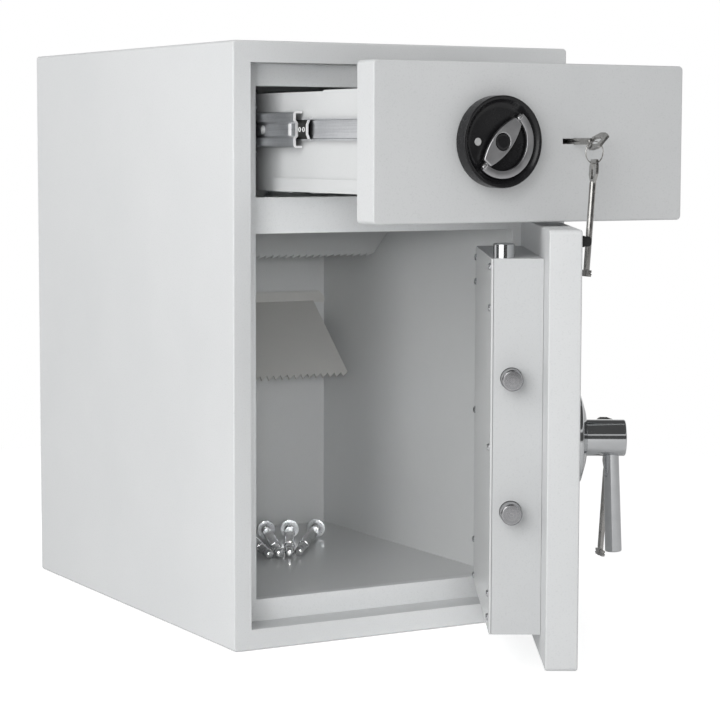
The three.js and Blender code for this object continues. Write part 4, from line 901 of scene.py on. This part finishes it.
def makeLever():
    low, high = span("rosette", doorPlace)
    centre = (low + high) / 2
    place = doorPlace @ move(centre.x, high.y, centre.z) @ outwards
    radius = (high.x - low.x) / 2
    crown = high.y - low.y
    rim = lever["rosetteThick"]
    profile = [
        (0, 0), (radius - 0.5, 0), (radius, 0.6, 0.4),
        (radius, rim - lever["rimLower"], lever["rosetteEdge"]),
        (lever["crownRadius"], crown, lever["crownRound"]), (0, crown),
    ]
    rosette = addPiece(turnedMesh("leverRosette", profile, 128), polishedChrome, "door", place)
    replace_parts(rosette, "rosette")

    hubLow, hubHigh = span("lever_hub", doorPlace)
    start, end = high.y - hubHigh.y, high.y - hubLow.y
    hubRadius, chamfer = lever["hubRadius"], lever["hubChamfer"]
    profile = [
        (0, start), (hubRadius - chamfer, start, 0.3), (hubRadius, start + chamfer, 0.3),
        (hubRadius, end - 0.2, lever["hubEdge"]), (hubRadius - lever["faceInside"], end, 1.0),
        (hubRadius - lever["dishInside"], end - 0.5, 1.0), (0, end - 0.3),
    ]
    hub = addPiece(turnedMesh("leverHub", profile, 128), polishedChrome, "lever", place)
    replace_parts(hub, "lever_hub")

    armLow, armHigh = span("lever_arm", doorPlace)
    axisOut = high.y - (armLow.y + armHigh.y) / 2
    length = centre.z - armLow.z
    top, tip = lever["topRadius"], lever["tipRadius"]
    inHub = hubRadius - lever["armInHub"]
    profile = [(0, inHub), (top, inHub), (tip, length, lever["tipEdge"]), (0, length)]
    arm = turnedMesh("leverArm", profile, 96)
    armPlace = place @ move(0, 0, axisOut - lever["armInwards"]) @ turn(90 - lever["splay"], "X")
    piece = addPiece(arm, polishedChrome, "lever", armPlace)
    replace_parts(piece, "lever_arm")


buffer = {"footRadius": 5.2, "footHeight": 2.5, "neckRadius": 4.6, "domeRound": 3.0}


def makeBuffer():
    low, high = span("rubber_buffer", doorPlace)
    place = doorPlace @ move((low.x + high.x) / 2, high.y, (low.z + high.z) / 2) @ outwards
    proud = high.y - low.y
    foot, neck = buffer["footRadius"], buffer["neckRadius"]
    profile = [
        (0, 0), (foot, 0), (foot, buffer["footHeight"], 0.5), (neck, buffer["footHeight"] + 0.5, 0.3),
        (neck, proud, buffer["domeRound"]), (0, proud),
    ]
    piece = addPiece(turnedMesh("rubberBuffer", profile, 48), blackRubber, "door", place)
    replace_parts(piece, "rubber_buffer")


makeLever()
makeBuffer()
print("door furniture made")


# Locking bolts: turned round bars with a chamfered, very slightly domed tip
bolts = {"chamfer": 1.5, "dome": 0.25}


def boltProfile(radius, length):
    dome, chamfer = bolts["dome"], bolts["chamfer"]
    return [
        (0, 0), (radius, 0, 0.4), (radius, length - chamfer, 0.5),
        (radius - chamfer, length - dome, 0.5), (0, length),
    ]


def makeBolts():
    for name, node in (("sideBoltUpper", "side_bolt_upper"), ("sideBoltLower", "side_bolt_lower")):
        low, high = span(node, doorPlace)
        place = doorPlace @ move(high.x, (low.y + high.y) / 2, (low.z + high.z) / 2) @ turn(-90, "Y")
        mesh = turnedMesh(name, boltProfile((high.z - low.z) / 2, high.x - low.x), 96)
        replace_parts(addPiece(mesh, turnedSteel, "side_bolts", place), node)
    low, high = span("top_bolt", doorPlace)
    place = doorPlace @ move((low.x + high.x) / 2, (low.y + high.y) / 2, low.z)
    mesh = turnedMesh("topBolt", boltProfile((high.x - low.x) / 2, high.z - low.z), 96)
    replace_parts(addPiece(mesh, polishedChrome, "top_bolt", place), "top_bolt")


makeBolts()
print("bolts made")


# Keys: a flat bow, a round shank and two bits, with a spare on the ring
keys = {
    "bowLength": 22.0, "bowWidth": 21.0, "bowThick": 2.5, "neckWidth": 9.0,
    "holeWide": 9.0, "holeFrom": 2.5, "holeTo": 18.5,
    "shankRadius": 2.9, "shankInBow": 2.2, "inside": 44.0,
    "bitLength": 6.0, "bitHalf": 12.0, "bitThick": 3.0,
    "drawerTurn": 45.0, "doorTurn": 85.0, "doorRingSlid": 9.0, "wireRadius": 0.5, "ringRadius": 10.2,
    "ringSteps": 96,
}


def bitOutline(side):
    # one bit with its steps, as (across, along) seen square to the key
    radius, half, length = keys["shankRadius"] - 0.8, keys["bitHalf"], keys["bitLength"]
    steps = [(radius, 0), (half - 1.5, 0), (half - 1.5, 1.4), (half, 1.4), (half, 2.6), (half - 2.6, 2.6),
             (half - 2.6, 3.7), (half - 0.8, 3.7), (half - 0.8, length), (radius, length)]
    return [(side * across, along) for across, along in steps]


def bowOutlines():
    # a bow that widens from the neck to a straight outer edge, and the long hole in it
    length, half, neck = keys["bowLength"], keys["bowWidth"] / 2, keys["neckWidth"] / 2
    corners = [(-neck, 0, 1.2), (neck, 0, 1.2), (half, length * 0.34, 3.0), (half, length * 0.66, 4.0),
               (half - 2.6, length, 2.6), (-half + 2.6, length, 2.6), (-half, length * 0.66, 4.0),
               (-half, length * 0.34, 3.0)]
    bow = softened(corners, steps=8)
    wide, start, end = keys["holeWide"] / 2, keys["holeFrom"], keys["holeTo"]
    middle = (start + end) / 2
    hole = []
    for point in bow:
        angle = math.atan2((point.y - middle) / (end - start), point.x / (2 * wide))
        cos, sin = math.cos(angle), math.sin(angle)
        across = wide * math.copysign(abs(cos) ** 0.75, cos)
        hole.append((across, middle + (end - start) / 2 * math.copysign(abs(sin) ** 0.75, sin)))
    return bow, hole


def makeKey(name, body, place, outside, bowTurn=0.0, replaced=None):
    # place has the key's axis as local Z, towards the hand, with the lock's face at zero
    turned = place @ turn(bowTurn, "Z")
    bow, hole = bowOutlines()
    half = keys["bowThick"] / 2
    bowPlace = turned @ turn(90, "X") @ move(0, outside, 0)  # drawn in local X and Y, thick along Z
    mesh = cutMesh(name + "Bow", bow, -half, half, hole)
    piece = addPiece(mesh, keyNickel, body, bowPlace, bevel=0.5)
    if replaced:
        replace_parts(piece, replaced)
    radius = keys["shankRadius"]
    start, inBow = -keys["inside"], outside + keys["shankInBow"]
    profile = [
        (0, start), (radius, start, 0.8), (radius, outside - 0.5, 0.3), (radius, inBow, 1.2), (0, inBow),
    ]
    addPiece(turnedMesh(name + "Shank", profile, 48), keyNickel, body, turned)
    halfBit = keys["bitThick"] / 2
    for sideName, side in (("Left", -1), ("Right", 1)):
        bitPlace = place @ turn(90, "X") @ move(0, start, 0)
        mesh = cutMesh(name + "Bit" + sideName, bitOutline(side), -halfBit, halfBit)
        addPiece(mesh, keyNickel, body, bitPlace, bevel=0.25)


def makeKeyRing(name, body, node, slid=(0.0, 0.0, 0.0)):
    # a split ring of two turns of wire, standing square to the bow's hole, slid along it where stated
    low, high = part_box(node)
    centre = (Vector(low) + Vector(high)) / 2 / mm + Vector(slid)
    size = Vector(high) - Vector(low)
    yaw = math.atan2(size.y, size.x)
    radius, wire = keys["ringRadius"], keys["wireRadius"]
    points = []
    steps = keys["ringSteps"]
    for k in range(steps + 1):
        angle = 4 * math.pi * k / steps
        climb = (k / steps - 0.5) * 2 * wire
        points.append((radius * math.cos(angle), climb, radius * math.sin(angle)))
    place = move(*centre) @ turn(math.degrees(yaw), "Z")
    piece = addPiece(wireMesh(name, points, wire), keyNickel, body, place)
    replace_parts(piece, node)
    return centre


spare = {"outside": 42.0, "lean": 4.3, "blade": 12.0}


def makeKeys():
    drawerAxis = Matrix.Translation(joints["drawer_key_turn"]["pos_m"])
    low = span("drawer_key")[0]
    face = joints["drawer_key_turn"]["pos_m"][1] / mm
    outside = face - low.y - keys["bowLength"]
    makeKey("drawerKey", "drawer_key", drawerAxis @ outwards, outside, keys["drawerTurn"], "drawer_key")
    ringCentre = makeKeyRing("drawerKeyRing", "drawer_key", "drawer_key_ring")
    hangSpare("drawerSpareKey", "drawer_key", ringCentre)

    shut = span("door_key", doorPlace)
    axis = doorPlace.inverted() @ Vector(joints["door_key_turn"]["pos_m"])
    doorAxis = doorPlace @ Matrix.Translation(axis)
    outsideDoor = axis.y / mm - shut[0].y - keys["bowLength"]
    makeKey("doorKey", "door_key", doorAxis @ outwards, outsideDoor, keys["doorTurn"], "door_key")
    slid = doorPlace.to_3x3() @ Vector((0, -keys["doorRingSlid"], 0))
    ringCentre = makeKeyRing("doorKeyRing", "door_key", "door_key_ring", slid)
    hangSpare("doorSpareKey", "door_key", ringCentre)


def hangSpare(name, body, ringCentre):
    # the spare hangs straight down, the outer end of its hole on the ring's lowest wire
    hung = ringCentre - Vector((0, 0, keys["ringRadius"] - keys["wireRadius"]))
    sideways = turn(-photoCamera["turnedRight"] + 90 + spare["blade"], "Z")
    hangs = move(0, 0, -spare["outside"] - keys["holeTo"])
    makeKey(name, body, move(*hung) @ turn(spare["lean"], "Y") @ sideways @ hangs, spare["outside"])


makeKeys()
print("keys made")


# Drawer slides: middle members with their beads, ball cages with balls, drawer members
slides = {
    "sheet": 1.3, "middleHeight": 34.6, "flangeReach": 5.0,
    "beadHeight": 9.5, "beadProud": 2.4, "beadSlope": 2.2,
    "drawerHeight": 21.0, "drawerReach": 5.0,
    "cageHeight": 21.0, "cageSheet": 0.9, "cageReach": 6.5, "cageLean": 2.4, "cageSlope": 5.5,
    "cageSheenRimWide": 1.1, "ringsBehind": (5.0, 13.0),
    "ballRadius": 2.1, "ballPitch": 11.0, "ballsUp": 8.4, "ballsInside": 0.8,
    "firstBall": 5.0, "lastBall": 3.0,  # metal left before the first ball and behind the last
    # the middle rim and the cage rim entries size pale matt rims at the front ends, a painted highlight of
    # the cut edges
    "middleSheenRim": (0.9, 0.4, 0.8),  # thicker than the sheet, before its end, behind its end
    "middleForward": 8.5, "cageBack": 16.0, "sheenRimLong": 1.2,
    "tab": (1.0, 4.0, 11.5), "tabBehind": 13.0, "rivetBehind": 70.0,
    "rivet": [(0, 0), (4.2, 0), (4.2, 0.8, 0.3), (3.0, 0.8, 0.2), (2.6, 0.3), (1.6, 1.4, 0.5), (0, 1.6)],
    "cageRing": [(1.4, 0, 0.1), (2.5, 0, 0.2), (2.3, 0.8, 0.3), (1.6, 0.8, 0.3)],
}


def slidePath(side, points):
    return [(point[0] * side, *point[1:]) for point in points]


def makeSlides():
    sheet = slides["sheet"]
    for sideName, side in (("Left", -1), ("Right", 1)):
        nodeSide = sideName.lower()
        low, high = span("slide_middle_" + nodeSide)
        up = (low.z + high.z) / 2
        outer = max(abs(low.x), abs(high.x)) - sheet / 2  # middle of the sheet at its beads
        web = outer - slides["beadProud"]
        lip = web - slides["flangeReach"] - sheet / 2
        half = slides["middleHeight"] / 2 - sheet / 2
        bead = half - slides["beadHeight"] + sheet
        path = [
            (lip, up + half), (outer, up + half, 2.0), (outer, up + bead, 1.6),
            (web, up + bead - slides["beadSlope"], 1.6), (web, up - bead + slides["beadSlope"], 1.6),
            (outer, up - bead, 1.6), (outer, up - half, 2.0), (lip, up - half),
        ]
        drawn = slidePath(side, path)
        front = low.y - slides["middleForward"]
        mesh = bentSheetMesh("slideMiddle" + sideName, drawn, sheet, front, high.y)
        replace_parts(addPiece(mesh, slideZinc, "slide_middle"), "slide_middle_" + nodeSide)
        # painted highlight: a pale matt rim, a little thicker than the sheet, at the member's front end
        # where its cut edge catches the light
        wide, before, after = slides["middleSheenRim"]
        rim = bentSheetMesh("slideMiddleSheenRim" + sideName, drawn, sheet + wide, front - before, front + after)
        addPiece(rim, fittingSteelAndSheen, "slide_middle")
        addWebMarks(sideName, side, web + sheet / 2, front, up)

        low, high = span("slide_drawer_" + nodeSide)
        inner = min(abs(low.x), abs(high.x)) + sheet / 2
        reach = inner + slides["drawerReach"] - sheet / 2
        half = slides["drawerHeight"] / 2 - sheet / 2
        path = [(reach, up + half), (inner, up + half, 1.9), (inner, up - half, 1.9), (reach, up - half)]
        mesh = bentSheetMesh("slideDrawer" + sideName, slidePath(side, path), sheet, low.y, high.y)
        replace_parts(addPiece(mesh, slideZinc, "drawer"), "slide_drawer_" + nodeSide)
        makeCage(sideName, side, up)


def addWebMarks(sideName, side, face, front, up):
    # on the middle member's web: an upright stop tab and a rivet further back
    thick, long, high = slides["tab"]
    right, top = long / 2, high / 2
    outline = [(-right, -top), (right, -top), (right, top), (-right, top)]
    place = move(side * face, front + slides["tabBehind"], up) @ turn(90 * side, "Z") @ turn(90, "X")
    tab = cutMesh("slideTab" + sideName, softened([(*corner, 0.6) for corner in outline]), -thick, thick)
    addPiece(tab, fittingSteelAndSheen, "slide_middle", place, bevel=0.3)
    place = move(side * face, front + slides["rivetBehind"], up) @ turn(90 * side, "Y")
    rivet = turnedMesh("slideRivet" + sideName, slides["rivet"], 40)
    addPiece(rivet, fittingSteelAndSheen, "slide_middle", place)


def makeCage(sideName, side, up):
    # black strip between the members, with a ball every few millimetres in each edge
    low, high = span("ball_cage_" + sideName.lower())
    low.y += slides["cageBack"]
    sheet = slides["cageSheet"]
    outer = max(abs(low.x), abs(high.x)) - sheet / 2
    lip = outer - slides["cageReach"] + sheet / 2
    half = slides["cageHeight"] / 2 - sheet / 2
    lean, slope = slides["cageLean"], slides["cageSlope"]
    path = [
        (lip, up + half), (outer - lean, up + half, 1.2), (outer, up + half - slope, 2.5),
        (outer, up - half + slope, 2.5), (outer - lean, up - half, 1.2), (lip, up - half),
    ]
    drawn = slidePath(side, path)
    mesh = bentSheetMesh("ballCage" + sideName, drawn, sheet, low.y, high.y)
    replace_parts(addPiece(mesh, blackCagePlastic, "slide_middle"), "ball_cage_" + sideName.lower())
    # painted highlight: a pale matt rim at the cage's front end, where its cut edge catches the light
    front = low.y - slides["sheenRimLong"]
    rim = bentSheetMesh("ballCageSheenRim" + sideName, drawn, sheet + slides["cageSheenRimWide"], front, low.y)
    addPiece(rim, fittingSteelAndSheen, "slide_middle")
    for index, behind in enumerate(slides["ringsBehind"]):
        place = move(side * (outer + sheet / 2), low.y + behind, up) @ turn(90 * side, "Y")
        ring = turnedMesh("cageRing" + sideName + str(index), slides["cageRing"], 32, hollow=True)
        addPiece(ring, fittingSteelAndSheen, "slide_middle", place)
    radius = slides["ballRadius"]
    arc = [(radius * math.sin(math.pi * k / 12), -radius * math.cos(math.pi * k / 12)) for k in range(13)]
    shape = bmesh.new()
    first, last, pitch = slides["firstBall"], slides["lastBall"], slides["ballPitch"]
    across = side * (lip + slides["ballsInside"])
    for index in range(int((high.y - low.y - first - last) / pitch) + 1):
        for upDown in (-1, 1):
            place = (across, low.y + first + index * pitch, up + upDown * slides["ballsUp"])
            bridgeAll(shape, [ringOf(shape, around, height, 16, place) for around, height in arc])
    balls = finishMesh("slideBalls" + sideName, shape)
    addPiece(balls, polishedChrome, "slide_middle", smooth=60)


makeSlides()
print("slides made")


# Anchor bolts: stud with thread and rounded tip, sleeve, washer and nut
anchor = {
    "studRadius": 5.2, "tipRound": 3.2, "neckFrom": 9.0, "neckTo": 15.0, "neckRadius": 4.2,
    "sleeveRadius": 6.0, "sleeveFrom": 35.0, "sleeveTo": 112.0,
    "washerRadius": 11.0, "washerThick": 2.4, "nutRadius": 8.4, "nutLength": 6.0, "endProud": 2.0,
    "threadFrom": 112.5, "threadShort": 0.4, "pitch": 1.5, "threadDeep": 0.7, "nutBevel": 0.9,
}


def longAxis(node):
    # middle and direction of a long piece, from its own points
    points = [vertex.co for vertex in frame["nodes"][node].data.vertices]
    centre = sum(points, Vector()) / len(points)
    along = Vector((0, 1, 0))
    for _ in range(6):
        pulls = [((point - centre).dot(along)) * (point - centre) for point in points]
        along = sum(pulls, Vector()).normalized()
    reaches = [(point - centre).dot(along) for point in points]
    return centre + along * min(reaches), along, (max(reaches) - min(reaches)) / mm


def threadMesh(name, radius, start, end, pitch, depth, sides=28):
    # one helical thread between two heights, with the rows of each turn joined to the next
    shape = bmesh.new()
    share = ((0.0, 0.0), (0.38, depth), (0.5, depth), (0.88, 0.0))  # (part of a pitch, depth)
    turns = int((end - start) / pitch) + 2
    columns = []
    for step in range(sides + 1):
        angle = 2 * math.pi * step / sides
        column = []
        for count in range(turns):
            for up, sunk in share:
                height = start + (count - 1 + up + step / sides) * pitch
                held = min(max(height, start), end)
                away = radius - sunk
                column.append(shape.verts.new((away * math.cos(angle), away * math.sin(angle), held)))
        columns.append(column)
    for left, right in zip(columns, columns[1:]):
        for k in range(len(left) - 1):
            corners = (left[k], right[k], right[k + 1], left[k + 1])
            shape.faces.new(corners)
    bmesh.ops.dissolve_degenerate(shape, edges=shape.edges, dist=0.001)
    return finishMesh(name, shape)


def makeAnchors():
    for index in range(1, 5):
        node = "anchor_bolt_" + str(index)
        tip, along, length = longAxis(node)
        place = Matrix.Translation(tip) @ along.to_track_quat("Z", "X").to_matrix().to_4x4()
        name = "anchor" + str(index)
        stud, neck = anchor["studRadius"], anchor["neckRadius"]
        threadEnd = length - anchor["threadShort"]
        core = stud - anchor["threadDeep"] - 0.1
        profile = [
            (0, 0), (stud, 0, anchor["tipRound"]), (stud, anchor["neckFrom"], 0.6),
            (neck, anchor["neckFrom"] + 1.2, 0.6), (neck, anchor["neckTo"] - 1.0, 0.6),
            (stud, anchor["neckTo"], 0.6), (stud, anchor["threadFrom"]),
            (core, anchor["threadFrom"] + 0.5), (core, length - 0.8, 0.4),
            (core - 1, length, 0.3), (0, length),
        ]
        mesh = turnedMesh(name + "Stud", profile, 48)
        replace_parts(addPiece(mesh, brightSteel, "cabinet", place), node)
        pitch, deep = anchor["pitch"], anchor["threadDeep"]
        mesh = threadMesh(name + "Thread", stud, anchor["threadFrom"], threadEnd, pitch, deep)
        addPiece(mesh, brightSteel, "cabinet", place, smooth=50)
        sleeve, start, end = anchor["sleeveRadius"], anchor["sleeveFrom"], anchor["sleeveTo"]
        bore = stud + 0.05
        profile = [(bore, start, 0.1), (sleeve, start, 0.3), (sleeve, end, 0.3), (bore, end, 0.1)]
        mesh = turnedMesh(name + "Sleeve", profile, 48, hollow=True)
        addPiece(mesh, brightSteel, "cabinet", place)
        nutEnd = length - anchor["endProud"]
        nutStart = nutEnd - anchor["nutLength"]
        washerStart = nutStart - anchor["washerThick"]
        wide = anchor["washerRadius"]
        bore = stud + 0.2
        profile = [
            (bore, washerStart, 0.2), (wide, washerStart, 0.5),
            (wide, nutStart, 0.3), (bore, nutStart, 0.2),
        ]
        mesh = turnedMesh(name + "Washer", profile, 64, hollow=True)
        addPiece(mesh, zincSheet, "cabinet", place)
        makeNut(name, place, nutStart, nutEnd)


def makeNut(name, place, start, end):
    # six sides, with the corners turned off at both faces
    corner = anchor["nutRadius"]
    flat = corner * math.cos(math.pi / 6)
    sides = 48
    shape = bmesh.new()
    rows = []
    faceMost = flat - 0.1
    low, high = start + anchor["nutBevel"], end - anchor["nutBevel"]
    for height, most in ((start, faceMost), (low, corner), (high, corner), (end, faceMost)):
        row = []
        for k in range(sides):
            angle = 2 * math.pi * k / sides
            toFlat = flat / math.cos((angle + math.pi / 6) % (math.pi / 3) - math.pi / 6)
            reach = min(most, toFlat)
            row.append(shape.verts.new((reach * math.cos(angle), reach * math.sin(angle), height)))
        rows.append(row)
    rows += [ringOf(shape, anchor["studRadius"] - 0.2, height, sides) for height in (end, start)]
    bridgeAll(shape, rows + rows[:1])
    addPiece(finishMesh(name + "Nut", shape), zincSheet, "cabinet", place, smooth=30)


makeAnchors()
print("anchors made")


# Small screws that hold the inner cover on the bolt case
screws = {
    "headRadius": 3.6, "headHigh": 2.2, "domeWide": 1.3, "pitRadius": 1.1, "pitDeep": 0.9,
    "columns": {
        "Free": (14.0, (60.0, 82.0, 220.0, 350.0, 388.0)),
        "Hinge": (254.0, (54.0, 92.0, 227.0, 360.0, 385.0)),
    },
}


def makeScrews():
    low, high = span("inner_cover", doorPlace)
    radius, tall = screws["headRadius"], screws["headHigh"]
    pitFloor = tall - screws["pitDeep"]
    profile = [
        (0, 0), (radius, 0), (radius, 0.7, 0.3), (radius - screws["domeWide"], tall, 1.2),
        (screws["pitRadius"], tall, 0.2), (0.5, pitFloor), (0, pitFloor),
    ]
    for column, (across, heights) in screws["columns"].items():
        for row, height in enumerate(heights):
            place = doorPlace @ move(low.x + across, high.y, height) @ turn(180, "Z") @ outwards
            mesh = turnedMesh("coverScrew" + column + str(row), profile, 32)
            addPiece(mesh, polishedChrome, "door", place)


makeScrews()
print("screws made")


# Studio: pale floor, one big soft lamp from the left and a pale world
studio = {
    "worldLight": 0.52, "reflectedDark": 0.10, "reflectedBand": 0.8, "bandHeight": 0.40,
    "beyond": (0.494, 0.869, 0.0),  # heading from the camera past the safe
    "sidePale": (-0.10, 0.30), "topDark": (0.55, 0.30), "bandEdge": (0.09, 0.03),
    "floorHalf": 9.0, "floorBelow": 0.5, "floorPale": 0.92, "floorLift": 0.60,
    "whiteFrom": 0.55, "whiteTo": 1.3,  # metres from the safe's middle
}
keyLamp = {"place": (-2.55, -1.75, 1.55), "aim": (0.0, -0.25, 0.3), "size": 3.0, "power": 75.0}

# Small soft lamps that light only the recess, the front frame and the anchors
recessPieces = (
    "stop_frame", "inner_liner", "chute_deck", "lower_baffle", "tilt_track_left", "tilt_track_right",
)
recessLamps = {
    "deepLamp": {
        "place": (-1.15, -2.45, 0.55), "aim": (0.02, 0.05, 0.20),
        "radius": 0.25, "power": 92.0, "cone": 14.4, "soft": 0.5, "nodes": recessPieces,
    },
    "sideLamp": {
        "place": (-1.95, -1.95, 0.50), "aim": (0.10, -0.12, 0.22),
        "radius": 0.30, "power": 95.0, "cone": 14.4, "soft": 0.5, "nodes": recessPieces,
    },
    "upperLamp": {
        "place": (-1.55, -2.20, 0.50), "aim": (-0.06, -0.22, 0.60),
        "radius": 0.20, "power": 190.0, "cone": 7.0, "soft": 1.0, "nodes": ("stop_frame",),
    },
    "frameLamp": {
        "place": (-2.50, -1.90, 0.50), "aim": (0.0, -0.20, 0.25),
        "radius": 0.60, "power": 18.0, "cone": 32.0, "soft": 0.5, "nodes": ("outer_casing",),
    },
    "footLamp": {
        "place": (-1.15, -2.45, 0.30), "aim": (0.15, -0.255, -0.01),
        "radius": 0.25, "power": 230.0, "cone": 10.0, "soft": 1.0, "nodes": ("outer_casing",),
    },
    "headLamp": {
        "place": (-1.15, -2.45, 0.55), "aim": (0.0, -0.255, 0.63),
        "radius": 0.25, "power": 100.0, "cone": 8.0, "soft": 1.0, "nodes": ("outer_casing",),
    },
}


def addLamp(name, kind, look):
    lamp = bpy.data.lights.new(name, kind)
    lamp.energy = look["power"]
    holder = addObject(name, lamp)
    toAim = Vector(look["aim"]) - Vector(look["place"])
    turned = toAim.to_track_quat("-Z", "Y").to_matrix().to_4x4()
    holder.matrix_world = Matrix.Translation(look["place"]) @ turned
    return holder


def addRecessLamps():
    shown = [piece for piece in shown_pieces() if piece.name not in frame["nodes"]]
    anchors = [piece for piece in shown if piece.name.startswith("anchor")]
    for name, look in recessLamps.items():
        lit = bpy.data.collections.new(name + "Pieces")
        for piece in [frame["nodes"][node] for node in look["nodes"]] + anchors:
            lit.objects.link(piece)
        holder = addLamp(name, "SPOT", look)
        holder.data.shadow_soft_size = look["radius"]
        holder.data.spot_size = math.radians(look["cone"])
        holder.data.spot_blend = look["soft"]
        holder.light_linking.receiver_collection = lit


def makeWorld():
    # white as a backdrop; in reflections white beyond the safe and dark on the camera's side
    world = bpy.data.worlds.new("paleStudio")
    bpy.context.scene.world = world
    world.use_nodes = True
    tree = world.node_tree
    path = addNode(tree, "LightPath").outputs
    heading = addNode(tree, "TexCoord").outputs["Generated"]
    beyond = addNode(tree, "VectorMath", {0: heading, 1: studio["beyond"]}, operation="DOT_PRODUCT")
    height = addNode(tree, "SeparateXYZ", {0: heading}).outputs[2]
    side = spread(tree, beyond.outputs["Value"], *studio["sidePale"])
    under = spread(tree, height, *studio["topDark"])
    room = spread(tree, math2(tree, "MULTIPLY", side, under), 0.0, 1.0, studio["reflectedDark"], 1.0)
    fromBand = math2(tree, "ABSOLUTE", math2(tree, "SUBTRACT", height, studio["bandHeight"]))
    near = spread(tree, fromBand, *studio["bandEdge"])
    band = math2(tree, "MULTIPLY", near, studio["reflectedBand"])
    reflected = math2(tree, "MAXIMUM", room, band)
    shiny = spread(tree, path["Is Glossy Ray"], 0.0, 1.0, studio["worldLight"], reflected)
    clear = math2(tree, "MAXIMUM", path["Is Camera Ray"], path["Is Transmission Ray"])
    strength = spread(tree, clear, 0.0, 1.0, shiny, 1.0)
    backdrop = tree.nodes["Background"]
    backdrop.inputs["Color"].default_value = (1, 1, 1, 1)
    tree.links.new(strength, backdrop.inputs["Strength"])


def makeStudio():
    addLamp("keyLamp", "AREA", keyLamp).data.size = keyLamp["size"]
    addRecessLamps()
    makeWorld()
    half = studio["floorHalf"]
    mesh = bpy.data.meshes.new("studioFloor")
    corners = [(-half, -half, 0), (half, -half, 0), (half, half, 0), (-half, half, 0)]
    mesh.from_pydata(corners, [], [(0, 1, 2, 3)])
    floor = addObject("studioFloor", mesh)
    mesh.materials.append(makeFloorFinish())
    floor.location.z = -studio["floorBelow"] * mm


def makeFloorFinish():
    # lit floor near the safe, so that it keeps the shadow, fading to plain white further out
    material, tree, shader = newMaterial("studioFloor", Roughness=0.9)
    shader.inputs["Base Color"].default_value = (studio["floorPale"],) * 3 + (1,)
    shader.inputs["Specular IOR Level"].default_value = 0.0
    camera = addNode(tree, "LightPath").outputs["Is Camera Ray"]
    lift = math2(tree, "MULTIPLY", camera, studio["floorLift"])
    shader.inputs["Emission Color"].default_value = (1, 1, 1, 1)
    feed(shader, "Emission Strength", lift)
    white = addNode(tree, "Emission")
    away = addNode(tree, "VectorMath", {0: ownPlace(tree)}, operation="LENGTH").outputs["Value"]
    paler = spread(tree, away, studio["whiteFrom"], studio["whiteTo"])
    far = math2(tree, "MULTIPLY", paler, camera)
    mixed = addNode(tree, "MixShader", {0: far, 1: shader.outputs[0], 2: white.outputs[0]})
    tree.links.new(mixed.outputs[0], tree.nodes["Material Output"].inputs["Surface"])
    return material


makeStudio()
bpy.context.scene.view_settings.view_transform = "Standard"
print("studio ready")
